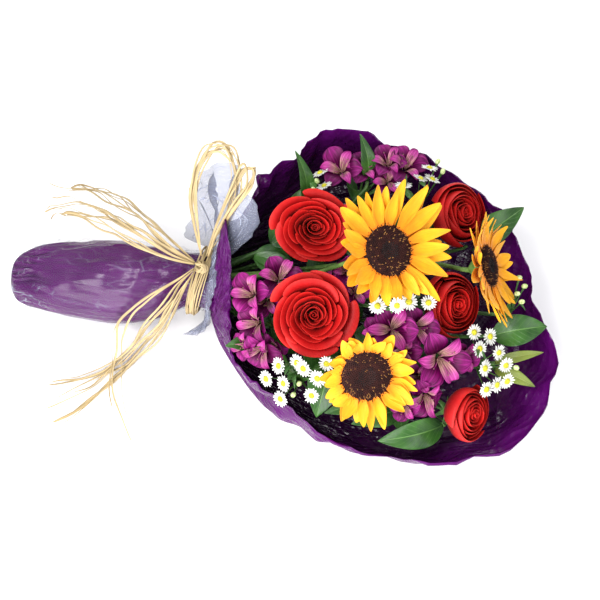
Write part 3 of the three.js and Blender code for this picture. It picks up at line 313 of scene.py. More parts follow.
class Chance:
    """A repeatable stream of numbers from 0 to 1."""

    FACTOR = 1664525
    STEP = 1013904223
    RANGE = 2**32

    def __init__(self, seed: int) -> None:
        """Starts the stream from a seed."""
        self.state = int(seed)

    def next(self) -> float:
        """The next number."""
        self.state = (self.state * self.FACTOR + self.STEP) % self.RANGE
        return self.state / self.RANGE

    def between(self, low: float, high: float) -> float:
        """The next number, scaled to a range."""
        return low + (high - low) * self.next()


def lerp(a: float, b: float, t: float) -> float:
    """The value a share t of the way from a to b."""
    return a + (b - a) * t


def smoothstep(value: float, low: float, high: float) -> float:
    """0 below low, 1 above high, and a smooth rise between them."""
    t = min(1.0, max(0.0, (value - low) / (high - low)))
    return t * t * (3 - 2 * t)


def pose(at: Vector, facing: Vector, turn: float = 0.0) -> Matrix:
    """The matrix that turns +Z to a facing, turns about it, and moves the origin to a point.

    Args:
        at: Where the origin goes.
        facing: Where +Z points afterwards.
        turn: The turn about +Z beforehand, in degrees.

    Returns:
        The matrix.
    """
    tilt = Vector((0, 0, 1)).rotation_difference(facing.normalized()).to_matrix().to_4x4()
    return Matrix.Translation(at) @ tilt @ Matrix.Rotation(math.radians(turn), 4, "Z")


def through(points: Sequence[Sequence[float]], t: float) -> list[float]:
    """A value on the smooth curve through rows of numbers.

    Args:
        points: The rows, spaced evenly along t.
        t: From 0 at the first row to 1 at the last.

    Returns:
        The row at t.
    """
    spans = len(points) - 1
    place = min(max(t, 0.0), 1.0) * spans
    i = min(int(place), spans - 1)
    s = place - i
    rows = [points[min(max(k, 0), spans)] for k in (i - 1, i, i + 1, i + 2)]
    return [
        0.5 * (2 * b + (c - a) * s + (2 * a - 5 * b + 4 * c - d) * s * s + (3 * b - a - 3 * c + d) * s**3)
        for a, b, c, d in zip(*rows)
    ]


def edge_point(edge: Sequence[Sequence[float]], degrees: float) -> Vector:
    """The point at an angle of a closed edge, smooth through the edge's own points.

    Args:
        edge: Rows of angle, x, y and z in rising order of angle.
        degrees: The angle asked for.

    Returns:
        The point.
    """
    degrees %= 360
    last = len(edge)
    i = max(k for k in range(last) if edge[k][0] <= degrees)
    span = (edge[(i + 1) % last][0] - edge[i][0]) % 360
    s = (degrees - edge[i][0]) / span
    a, b, c, d = (Vector(edge[(i + k) % last][1:]) for k in (-1, 0, 1, 2))
    knots = [0.0]
    for p, q in ((a, b), (b, c), (c, d)):
        knots.append(knots[-1] + math.sqrt((q - p).length))
    t = lerp(knots[1], knots[2], s)

    def blend(p: Vector, q: Vector, low: int, high: int) -> Vector:
        """Between p and q, as t lies between two knots."""
        return p.lerp(q, (t - knots[low]) / (knots[high] - knots[low]))

    ab, bc, cd = blend(a, b, 0, 1), blend(b, c, 1, 2), blend(c, d, 2, 3)
    return blend(blend(ab, bc, 0, 2), blend(bc, cd, 1, 3), 1, 2)


def ruffle(x: float, y: float, z: float) -> float:
    """Soft noise between about -1 and 1."""
    return 2 * noise.noise(Vector((x, y, z)))


def crumple(angle: float, scale: float, along: float) -> float:
    """Soft noise round a closed section, without a seam."""
    return ruffle(scale * math.cos(angle), scale * math.sin(angle), along)


def turned(out: float, side: float, high: float, angle: float) -> Vector:
    """The point that lies out, aside and up from the middle, for a petal at an angle."""
    cos, sin = math.cos(angle), math.sin(angle)
    return Vector((out * cos - side * sin, out * sin + side * cos, high))


def circle(steps: int) -> list[float]:
    """The angles round a circle, with its start again at the end."""
    return [2 * math.pi * k / steps for k in range(steps + 1)]


@dataclass(frozen=True)
class Room:
    """The rounded space that a bloom takes: its middle, axis, radius across and half height."""

    at: Vector
    axis: Vector
    across: float
    high: float

    def way_out(self, point: Vector, margin: float) -> Vector | None:
        """The way out of the room for a point that is inside it.

        Args:
            point: The point.
            margin: How much larger the room counts.

        Returns:
            A unit vector, or None where the point is outside.
        """
        offset = point - self.at
        along = offset.dot(self.axis)
        aside = offset - self.axis * along
        across, high = self.across + margin, self.high + margin
        if (aside.length / across) ** 3 + (abs(along) / high) ** 3 >= 1:
            return None
        out = aside / across**2 + self.axis * (along / high**2)
        return out.normalized() if out.length > 0 else self.axis.copy()


# Measures in the bloom's own radius, save the sunflowers' and florets' heights, in millimetres.
ROSE_DOWN, ROSE_ACROSS, ROSE_HIGH = 0.42, 1.08, 0.64
RAYS_ACROSS, RAYS_HIGH = 1.06, 11
FLORET_ACROSS, FLORET_HIGH = 1.1, 8
# A sunflower's head: how far down its middle is, how far past the disc it reaches, half its height.
HEAD_DOWN, HEAD_PAST, HEAD_HIGH = 10, 2, 16


def _rooms() -> list[Room]:
    """The rooms of the roses, then of the sunflowers' rays, then of their heads.

    Returns:
        The rooms, in the order of their numbers.
    """
    made = []
    for rose in ROSES:
        axis = Vector(rose.facing).normalized()
        middle = Vector(rose.at) - axis * ROSE_DOWN * rose.radius
        made.append(Room(middle, axis, ROSE_ACROSS * rose.radius, ROSE_HIGH * rose.radius))
    for bloom in SUNFLOWERS:
        axis = Vector(bloom.facing).normalized()
        made.append(Room(Vector(bloom.at), axis, RAYS_ACROSS * bloom.radius, RAYS_HIGH))
    for bloom in SUNFLOWERS:
        axis = Vector(bloom.facing).normalized()
        made.append(Room(Vector(bloom.at) - axis * HEAD_DOWN, axis, bloom.disc + HEAD_PAST, HEAD_HIGH))
    return made


def _florets() -> list[Room]:
    """The rooms of the alstroemerias' florets.

    Returns:
        The rooms.
    """
    made = []
    for stem in ALSTROEMERIAS:
        for floret in stem.florets:
            axis = Vector(floret.facing).normalized()
            made.append(Room(Vector(floret.at), axis, FLORET_ACROSS * floret.radius, FLORET_HIGH))
    return made


ROOMS = _rooms()
FLORETS = _florets()


def hides_a_bloom(point: Vector) -> bool:
    """Whether a point lies in a bloom or in front of one.

    Args:
        point: The point.

    Returns:
        True where it hides one.
    """
    for room in ROOMS + FLORETS:
        offset = point - room.at
        along = offset.dot(room.axis)
        aside = (offset - room.axis * along).length
        if along > -room.high - SIGHT_MARGIN and aside < room.across + SIGHT_MARGIN:
            return True
    return False


def bent_clear(point: Vector, margin: float = 1.0, besides: Sequence[int] = ()) -> Vector:
    """A point bent clear of every room, in steps of a millimetre.

    Args:
        point: Where it would be.
        margin: The air that it keeps.
        besides: The rooms that it may be in, by number.

    Returns:
        Where it goes.
    """
    moved = point.copy()
    for _ in range(BEND_STEPS):
        free = True
        for number, room in enumerate(ROOMS):
            out = None if number in besides else room.way_out(moved, margin)
            if out is not None:
                moved += out
                free = False
        if free:
            break
    return moved


# ---------------------------------------------------------------- meshes


class Workpiece:
    """A mesh being made, in millimetres, with its own map: U across a blade and V from foot to tip."""

    def __init__(self, name: str) -> None:
        """Starts an empty mesh.

        Args:
            name: The piece's name.
        """
        self.name = name
        self.mesh = bmesh.new()
        self.map = self.mesh.loops.layers.uv.new("UVMap")

    def grid(self, columns: int, rows: int, place: Placer, kind: int = 0) -> None:
        """Adds a grid and lays each of its points where it belongs.

        Args:
            columns: Faces across.
            rows: Faces along.
            place: Gives the point at u from -1 to 1 across and v from 0 to 1 along.
            kind: The number of the material on it.
        """
        made = bmesh.ops.create_grid(self.mesh, x_segments=columns, y_segments=rows, size=1.0)["verts"]
        for face in {face for vert in made for face in vert.link_faces}:
            face.material_index = kind
            for loop in face.loops:
                loop[self.map].uv = ((loop.vert.co.x + 1) / 2, (loop.vert.co.y + 1) / 2)
        for vert in made:
            vert.co = place(vert.co.x, (vert.co.y + 1) / 2)

    def tube(
        self,
        path: Sequence[Vector],
        radius: Callable[[float], float],
        sides: int = 6,
        kind: int = 0,
        flat: float = 1.0,
        ring: bool = False,
        twist: float = 0.0,
    ) -> None:
        """Adds a round or flattened tube along points.

        Args:
            path: The points of its middle line.
            radius: Its radius at a share of its length.
            sides: Faces around it.
            kind: The number of the material on it.
            flat: Its thickness as a share of its width.
            ring: Whether it closes on itself.
            twist: How far it turns about its middle line from end to end, in radians.
        """
        last = len(path) - 1
        frames: list[tuple[Vector, Vector, Vector]] = []
        aside = Vector((0.31, 0.17, 0.93))
        for i, point in enumerate(path):
            closes = ring and i in (0, last)
            before, after = (last - 1, 1) if closes else (max(i - 1, 0), min(i + 1, last))
            along = (path[after] - path[before]).normalized()
            if ring:
                aside = (path[0] + path[last // 2]) / 2 - point
            aside = (aside - along * aside.dot(along)).normalized()
            frames.append((point, aside.copy(), along.cross(aside)))

        def place(u: float, v: float) -> Vector:
            """The tube's surface, wrapped from the grid.

            Args:
                u: From -1 to 1 around.
                v: From 0 to 1 along.

            Returns:
                The point.
            """
            point, first, second = frames[round(v * last)]
            size, angle, turn = radius(v), math.pi * (u + 1), twist * v
            wide, thin = size * math.cos(angle), flat * size * math.sin(angle)
            across = wide * math.cos(turn) - thin * math.sin(turn)
            return point + first * across + second * (wide * math.sin(turn) + thin * math.cos(turn))

        self.grid(sides, last, place, kind)

    def shape(self, made: dict[str, Any], matrix: Matrix, kind: int = 0, v: float = 0.5) -> None:
        """Places what an operator has just made, and gives it one spot of the map.

        Args:
            made: The operator's result.
            matrix: Where it goes.
            kind: The number of the material on it.
            v: Its place along the map.
        """
        verts = made["verts"]
        bmesh.ops.transform(self.mesh, matrix=matrix, verts=verts)
        for face in {face for vert in verts for face in vert.link_faces}:
            face.material_index = kind
            for loop in face.loops:
                loop[self.map].uv = (0.5, v)

    def fill(self) -> None:
        """Closes the open ends."""
        edges = [edge for edge in self.mesh.edges if edge.is_boundary]
        bmesh.ops.holes_fill(self.mesh, edges=edges, sides=0)

    def close(self) -> None:
        """Joins the seams of tubes and closes their ends."""
        bmesh.ops.remove_doubles(self.mesh, verts=self.mesh.verts, dist=WELD)
        self.fill()

    def finish(
        self,
        materials: Sequence[bpy.types.Material],
        slot: Slot,
        nodes: Sequence[str],
        thickness: float = 0.0,
        levels: int = 0,
        offset: float = 0.0,
        outward: bool = False,
    ) -> bpy.types.Object:
        """Makes the piece of the mesh and sets it on the frame.

        Args:
            materials: The finishes, by number.
            slot: The record's slot; not used.
            nodes: The solids that it stands for.
            thickness: The wall given to an open sheet, in millimetres.
            levels: The rounds of subdivision.
            offset: Where the wall lies about the sheet, from -1 to 1.
            outward: Whether the faces are turned to point outwards first.

        Returns:
            The piece.
        """
        bmesh.ops.remove_doubles(self.mesh, verts=self.mesh.verts, dist=WELD)
        if outward:
            bmesh.ops.recalc_face_normals(self.mesh, faces=self.mesh.faces)
        bmesh.ops.scale(self.mesh, vec=(MM, MM, MM), verts=self.mesh.verts)
        for face in self.mesh.faces:
            face.smooth = True
        data = bpy.data.meshes.new(self.name)
        self.mesh.to_mesh(data)
        self.mesh.free()
        for material in materials:
            data.materials.append(material)
        piece = bpy.data.objects.new(self.name, data)
        bpy.context.scene.collection.objects.link(piece)
        if thickness:
            wall = piece.modifiers.new("wall", "SOLIDIFY")
            wall.thickness, wall.offset = thickness * MM, offset
            wall.material_offset = 1 if outward and len(materials) > 1 else 0
        if levels:
            smooth = piece.modifiers.new("smooth", "SUBSURF")
            smooth.levels = smooth.render_levels = levels
        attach(piece, ROOT)
        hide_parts(*nodes)
        LOG.info("%s: %d faces before modifiers", self.name, len(data.polygons))
        return piece


class Trimmed(Workpiece):
    """A workpiece that starts as a merged copy of a solid, of which some parts are cut away."""

    def __init__(self, name: str, source: bpy.types.Object) -> None:
        """Copies a solid's mesh, in millimetres, with its doubles merged.

        Args:
            name: The piece's name.
            source: The solid.
        """
        super().__init__(name)
        self.mesh.free()
        self.mesh = bmesh.new()  # without a map, because it takes the solid's own layers
        self.mesh.from_mesh(source.data)
        bmesh.ops.scale(self.mesh, vec=(1 / MM, 1 / MM, 1 / MM), verts=self.mesh.verts)
        bmesh.ops.remove_doubles(self.mesh, verts=self.mesh.verts, dist=SOLID_WELD)
        self.map = self.mesh.loops.layers.uv.verify()

    def cut(self, goes: Callable[[Vector], bool]) -> None:
        """Cuts away the faces whose middle a test picks, and closes the cuts.

        Args:
            goes: The test of a face's middle.
        """
        gone = [face for face in self.mesh.faces if goes(face.calc_center_median())]
        bmesh.ops.delete(self.mesh, geom=gone, context="FACES")
        self.fill()


# ---------------------------------------------------------------- finishes


class Tree:
    """A node tree with short ways to add nodes and join them."""

    def __init__(self, tree: bpy.types.NodeTree) -> None:
        """Works on a tree."""
        self.tree = tree

    def add(self, kind: str, **values: object) -> bpy.types.Node:
        """Adds a node and sets its properties.

        Args:
            kind: The node's type, without its leading ShaderNode.
            values: The properties to set.

        Returns:
            The node.
        """
        node = self.tree.nodes.new("ShaderNode" + kind)
        for name, value in values.items():
            setattr(node, name, value)
        return node

    def put(self, value: object, socket: bpy.types.NodeSocket) -> None:
        """Links a socket to another, or sets a plain value on it.

        Args:
            value: The socket or the value.
            socket: The socket that takes it.
        """
        if isinstance(value, bpy.types.NodeSocket):
            self.tree.links.new(value, socket)
        else:
            socket.default_value = value

    def math(self, operation: str, a: object, b: object = 0.5, clamp: bool = False) -> bpy.types.NodeSocket:
        """A number worked out from one or two others.

        Args:
            operation: The sum to do.
            a: The first number or socket.
            b: The second.
            clamp: Whether it is kept from 0 to 1.

        Returns:
            The result's socket.
        """
        node = self.add("Math", operation=operation, use_clamp=clamp)
        self.put(a, node.inputs[0])
        self.put(b, node.inputs[1])
        return node.outputs[0]

    def mix(self, share: object, a: object, b: object, blend: str = "MIX") -> bpy.types.NodeSocket:
        """A colour mixed from two.

        Args:
            share: How much of the second, a number or socket.
            a: The first colour or socket.
            b: The second.
            blend: The way they blend.

        Returns:
            The result's socket.
        """
        node = self.add("Mix", data_type="RGBA", blend_type=blend)
        self.put(share, node.inputs[0])
        self.put((*a, 1.0) if isinstance(a, tuple) else a, node.inputs[6])
        self.put((*b, 1.0) if isinstance(b, tuple) else b, node.inputs[7])
        return node.outputs[2]

    def ramp(self, value: object, *stops: tuple[float, Colour]) -> bpy.types.NodeSocket:
        """A colour read from stops along a value.

        Args:
            value: The socket that is read.
            stops: Places from 0 to 1, with their colours.

        Returns:
            The colour's socket.
        """
        node = self.add("ValToRGB")
        self.put(value, node.inputs[0])
        elements = node.color_ramp.elements
        while len(elements) < len(stops):
            elements.new(0.5)
        for element, (place, colour) in zip(elements, stops):
            element.position, element.color = place, (*colour, 1.0)
        return node.outputs[0]

    def span(
        self, value: object, low: float, high: float, to_low: float, to_high: float
    ) -> bpy.types.NodeSocket:
        """A value moved from one range to another, and kept in it.

        Args:
            value: The socket that is read.
            low: Where its range starts.
            high: Where its range ends.
            to_low: What low becomes.
            to_high: What high becomes.

        Returns:
            The result's socket.
        """
        node = self.add("MapRange")
        for socket, number in zip(node.inputs, (value, low, high, to_low, to_high)):
            self.put(number, socket)
        return node.outputs[0]

    def group(self, group: bpy.types.NodeTree, **values: float) -> bpy.types.Node:
        """Places a shared group with its own values.

        Args:
            group: The group.
            values: The values of its inputs, named with _ for a space.

        Returns:
            The node.
        """
        node = self.add("Group", node_tree=group)
        for name, value in values.items():
            node.inputs[name.replace("_", " ")].default_value = value
        return node

    def blade_map(self) -> bpy.types.Node:
        """Adds the piece's own map, split into its parts.

        Returns:
            The node, with U, across, first and V, along, second.
        """
        parts = self.add("SeparateXYZ")
        self.put(self.add("UVMap").outputs[0], parts.inputs[0])
        return parts


def new_group(name: str, inputs: dict[str, float], outputs: Sequence[str]) -> tuple[Tree, Sockets, Sockets]:
    """Starts a shared effect.

    Args:
        name: The group's name.
        inputs: Its inputs with their usual values.
        outputs: The names of its outputs.

    Returns:
        Its tree, its input sockets inside and its output sockets inside.
    """
    group = bpy.data.node_groups.new(name, "ShaderNodeTree")
    for label, value in inputs.items():
        group.interface.new_socket(label, in_out="INPUT", socket_type="NodeSocketFloat").default_value = value
    for label in outputs:
        group.interface.new_socket(label, in_out="OUTPUT", socket_type="NodeSocketFloat")
    entry, leave = group.nodes.new("NodeGroupInput"), group.nodes.new("NodeGroupOutput")
    return Tree(group), {s.name: s for s in entry.outputs}, {s.name: s for s in leave.inputs}


def streaks_group() -> bpy.types.NodeTree:
    """Fine lines that run from a blade's foot to its tip, on its own map.

    Returns:
        The group, with Count and Bend in and Value out.
    """
    tree, given, out = new_group("Streaks", {"Count": 20.0, "Bend": 1.0}, ["Value"])
    parts = tree.blade_map()
    across = tree.math("MULTIPLY", parts.outputs[0], given["Count"])
    along = tree.math("MULTIPLY", parts.outputs[1], given["Bend"])
    place = tree.add("CombineXYZ")
    tree.put(across, place.inputs[0])
    tree.put(along, place.inputs[1])
    grain = tree.add("TexNoise")
    tree.put(place.outputs[0], grain.inputs["Vector"])
    grain.inputs["Scale"].default_value = 1.0
    grain.inputs["Detail"].default_value = 3.0
    tree.put(tree.span(grain.outputs[0], 0.3, 0.7, 0.0, 1.0), out["Value"])
    return tree.tree


def mottle_group() -> bpy.types.NodeTree:
    """Soft patches over a piece, in the object's own space.

    Returns:
        The group, with Scale in and Value out.
    """
    tree, given, out = new_group("Mottle", {"Scale": 60.0}, ["Value"])
    patches = tree.add("TexNoise")
    tree.put(tree.add("TexCoord").outputs["Object"], patches.inputs["Vector"])
    tree.put(given["Scale"], patches.inputs["Scale"])
    patches.inputs["Detail"].default_value = 4.0
    tree.put(tree.span(patches.outputs[0], 0.3, 0.7, 0.0, 1.0), out["Value"])
    return tree.tree


def crinkle_group() -> bpy.types.NodeTree:
    """The sharp creases and flat facets of film that has been gathered, on the sheet's own map.

    Returns:
        The group, with the creases Around and Along the sheet in, and Crease and Height out.
    """
    tree, given, out = new_group("Crinkle", {"Around": 14.0, "Along": 5.0}, ["Crease", "Height"])
    parts = tree.blade_map()
    creases, heights = [], []
    for size, slant, creased in ((1.0, 0.25, True), (2.1, -0.35, True), (4.4, 0.15, False)):
        place = tree.add("CombineXYZ")
        lean = tree.math("ADD", parts.outputs[0], tree.math("MULTIPLY", parts.outputs[1], slant))
        tree.put(tree.math("MULTIPLY", lean, tree.math("MULTIPLY", given["Around"], size)), place.inputs[0])
        along = tree.math("MULTIPLY", given["Along"], size)
        tree.put(tree.math("MULTIPLY", parts.outputs[1], along), place.inputs[1])
        place.inputs[2].default_value = 7 * size
        cells = tree.add("TexVoronoi", feature="F1")
        tree.put(place.outputs[0], cells.inputs["Vector"])
        cells.inputs["Scale"].default_value = 1.0
        heights.append(tree.math("MULTIPLY", cells.outputs["Distance"], 1 / size))
        if creased:
            edges = tree.add("TexVoronoi", feature="DISTANCE_TO_EDGE")
            tree.put(place.outputs[0], edges.inputs["Vector"])
            edges.inputs["Scale"].default_value = 1.0
            pick = tree.add("TexNoise")
            tree.put(place.outputs[0], pick.inputs["Vector"])
            pick.inputs["Scale"].default_value = 0.55
            shown = tree.span(pick.outputs[0], 0.52, 0.6, 0.0, 1.0)
            line = tree.span(edges.outputs["Distance"], 0.0, 0.03, 1.0, 0.0)
            creases.append(tree.math("MULTIPLY", line, shown))
    tree.put(tree.math("MAXIMUM", *creases), out["Crease"])
    tree.put(tree.math("ADD", tree.math("ADD", heights[0], heights[1]), heights[2]), out["Height"])
    return tree.tree


class Effects:
    """The shared effects, each built once."""

    def __init__(self) -> None:
        """Builds the groups."""
        self.streaks = streaks_group()
        self.mottle = mottle_group()
        self.crinkle = crinkle_group()


@dataclass(frozen=True)
class Finish:
    """What every finish has: its name, roughness, sheen and gloss."""

    name: str
    roughness: float = 0.5
    sheen: float = 0.0
    sheen_tint: Colour = (1.0, 1.0, 1.0)
    specular: float = 0.4

    def start(self) -> tuple[bpy.types.Material, Tree, bpy.types.Node]:
        """Makes the material with its plain values.

        Returns:
            The material, its tree and its shader.
        """
        material = bpy.data.materials.new(self.name)
        material.use_nodes = True
        shader = material.node_tree.nodes["Principled BSDF"]
        shader.inputs["Roughness"].default_value = self.roughness

        shader.inputs["Sheen Weight"].default_value = self.sheen
        shader.inputs["Sheen Tint"].default_value = (*self.sheen_tint, 1.0)
        shader.inputs["Specular IOR Level"].default_value = self.specular
        return material, Tree(material.node_tree), shader

    def relief(
        self, tree: Tree, shader: bpy.types.Node, height: object, strength: float, depth: float
    ) -> None:
        """Bumps the surface by a height.

        Args:
            tree: The material's tree.
            shader: Its shader.
            height: The socket that the height is read from.
            strength: How strongly it shows.
            depth: The height's depth in millimetres.
        """
        bump = tree.add("Bump")
        bump.inputs["Strength"].default_value = strength
        bump.inputs["Distance"].default_value = depth * MM
        tree.put(height, bump.inputs["Height"])
        tree.put(bump.outputs[0], shader.inputs["Normal"])


@dataclass(frozen=True)
class PetalFinish(Finish):
    """A petal coloured from its foot to its lip, with fine lengthwise streaks."""

    foot: Colour = (0.1, 0.1, 0.1)
    body: Colour = (0.5, 0.5, 0.5)
    lip: Colour = (0.8, 0.8, 0.8)
    streak: Colour = (0.3, 0.3, 0.3)
    streak_share: float = 0.3
    count: float = 24.0
    foot_to: float = 0.0
    body_at: float = 0.45
    patch_scale: float = 55.0
    patch_dark: float = 0.82

    def build(self, effects: Effects) -> bpy.types.Material:
        """Makes the material.

        Args:
            effects: The shared effects.

        Returns:
            The material.
        """
        material, tree, shader = self.start()
        parts = tree.blade_map()
        along = parts.outputs[1]
        colour = tree.ramp(along, (self.foot_to, self.foot), (self.body_at, self.body), (1.0, self.lip))
        lines = tree.group(effects.streaks, Count=self.count, Bend=1.6).outputs[0]
        patches = tree.group(effects.mottle, Scale=self.patch_scale).outputs[0]
        colour = tree.mix(tree.math("MULTIPLY", lines, self.streak_share), colour, self.streak)
        shade = tree.span(patches, 0.0, 1.0, self.patch_dark, 1.1)
        grey = tree.add("CombineColor")
        for socket in grey.inputs:
            tree.put(shade, socket)
        colour = tree.mix(1.0, colour, grey.outputs[0], "MULTIPLY")
        tree.put(colour, shader.inputs["Base Color"])
        self.relief(tree, shader, lines, 0.35, 0.25)
        return material


@dataclass(frozen=True)
class LeafFinish(Finish):
    """A waxy leaf with its midrib and side veins."""

    deep: Colour = (0.02, 0.08, 0.015)
    light: Colour = (0.1, 0.24, 0.05)
    vein: Colour = (0.2, 0.34, 0.1)
    side_veins: float = 9.0

    def build(self, effects: Effects) -> bpy.types.Material:
        """Makes the material.

        Args:
            effects: The shared effects.

        Returns:
            The material.
        """
        material, tree, shader = self.start()
        parts = tree.blade_map()
        off = tree.math("ABSOLUTE", tree.math("SUBTRACT", parts.outputs[0], 0.5))
        reach = tree.math("SUBTRACT", parts.outputs[1], tree.math("MULTIPLY", off, 0.55))
        phase = tree.math("MULTIPLY", reach, math.pi * self.side_veins)
        wave = tree.math("ABSOLUTE", tree.math("SINE", phase))
        side = tree.span(wave, 0.0, 0.16, 1.0, 0.0)
        rib = tree.span(off, 0.008, 0.035, 1.0, 0.0)
        veins = tree.math("MAXIMUM", rib, tree.math("MULTIPLY", side, 0.55))
        patches = tree.group(effects.mottle, Scale=45.0).outputs[0]
        colour = tree.mix(patches, self.deep, self.light)
        colour = tree.mix(tree.math("MULTIPLY", veins, 0.6), colour, self.vein)
        tree.put(colour, shader.inputs["Base Color"])
        self.relief(tree, shader, tree.math("SUBTRACT", 1.0, veins), 0.5, 0.5)
        return material


@dataclass(frozen=True)
class PlainFinish(Finish):
    """A matt or rough surface of two close colours, with a grain."""

    dark: Colour = (0.1, 0.1, 0.1)
    light: Colour = (0.2, 0.2, 0.2)
    scale: float = 150.0
    depth: float = 0.3

    def build(self, effects: Effects) -> bpy.types.Material:
        """Makes the material.

        Args:
            effects: The shared effects.

        Returns:
            The material.
        """
        material, tree, shader = self.start()
        patches = tree.group(effects.mottle, Scale=self.scale).outputs[0]
        tree.put(tree.mix(patches, self.dark, self.light), shader.inputs["Base Color"])
        self.relief(tree, shader, patches, 0.5, self.depth)
        return material


@dataclass(frozen=True)
class FilmFinish(Finish):
    """Crinkled film, coloured or clear, thicker to the eye past a place along it, with painted glints along
    its creases and, where it has a rim colour, a painted lit band at its rim.
    """

    base: Colour = (0.1, 0.02, 0.12)
    # crease: the lighter colour painted along the creases as glints, and mixed into random patches.
    crease: Colour = (0.3, 0.1, 0.35)
    crease_share: float = 0.3
    alpha: float = 1.0
    crease_glint_alpha: float = 1.0
    fan_alpha: float = 1.0
    fan_from: float = 0.6
    middle: float = 1.0
    around: float = 14.0
    along: float = 5.0
    depth: float = 4.0
    # rim: a lighter colour toward the sheet's rim, painted light on the lit edge over a darker base that
    # stands for shade.
    rim: Colour | None = None
    lit_rim_from: float = 0.7

    def build(self, effects: Effects) -> bpy.types.Material:
        """Makes the material.

        Args:
            effects: The shared effects.

        Returns:
            The material.
        """
        material, tree, shader = self.start()
        parts = tree.blade_map()
        crinkle = tree.group(effects.crinkle, Around=self.around, Along=self.along)
        crease, height = crinkle.outputs["Crease"], crinkle.outputs["Height"]
        patches = tree.group(effects.mottle, Scale=16.0).outputs[0]
        base = self.base
        # Past a place along the sheet the base lightens to the rim colour: a painted lit band at the rim.
        if self.rim:
            base = tree.mix(tree.span(parts.outputs[1], self.lit_rim_from, 1.0, 0.0, 1.0), self.base, self.rim)
        colour = tree.mix(tree.math("MULTIPLY", patches, self.crease_share), base, self.crease)
        # Crease lines take the lighter colour: painted glints.
        colour = tree.mix(tree.math("MULTIPLY", crease, self.crease_share), colour, self.crease)
        tree.put(colour, shader.inputs["Base Color"])
        rough = tree.span(patches, 0.0, 1.0, self.roughness, self.roughness + 0.12)
        tree.put(rough, shader.inputs["Roughness"])
        if self.alpha < 1.0:
            along = parts.outputs[1]
            plain = tree.span(along, self.fan_from, self.fan_from + 0.06, self.alpha, self.fan_alpha)
            ends = tree.math("MAXIMUM", tree.span(along, 0.1, 0.22, 1.0, self.middle),
                             tree.span(along, 0.44, 0.54, self.middle, 1.0))
            # On clear film the crease lines also turn opaque: painted white glints, densest at the handle's
            # ends and by the neck.
            glint_lines = tree.math("MULTIPLY", crease, tree.math("MULTIPLY", ends, self.crease_glint_alpha))
            tree.put(tree.math("ADD", plain, glint_lines, clamp=True), shader.inputs["Alpha"])
        self.relief(tree, shader, height, 0.8, self.depth)
        return material


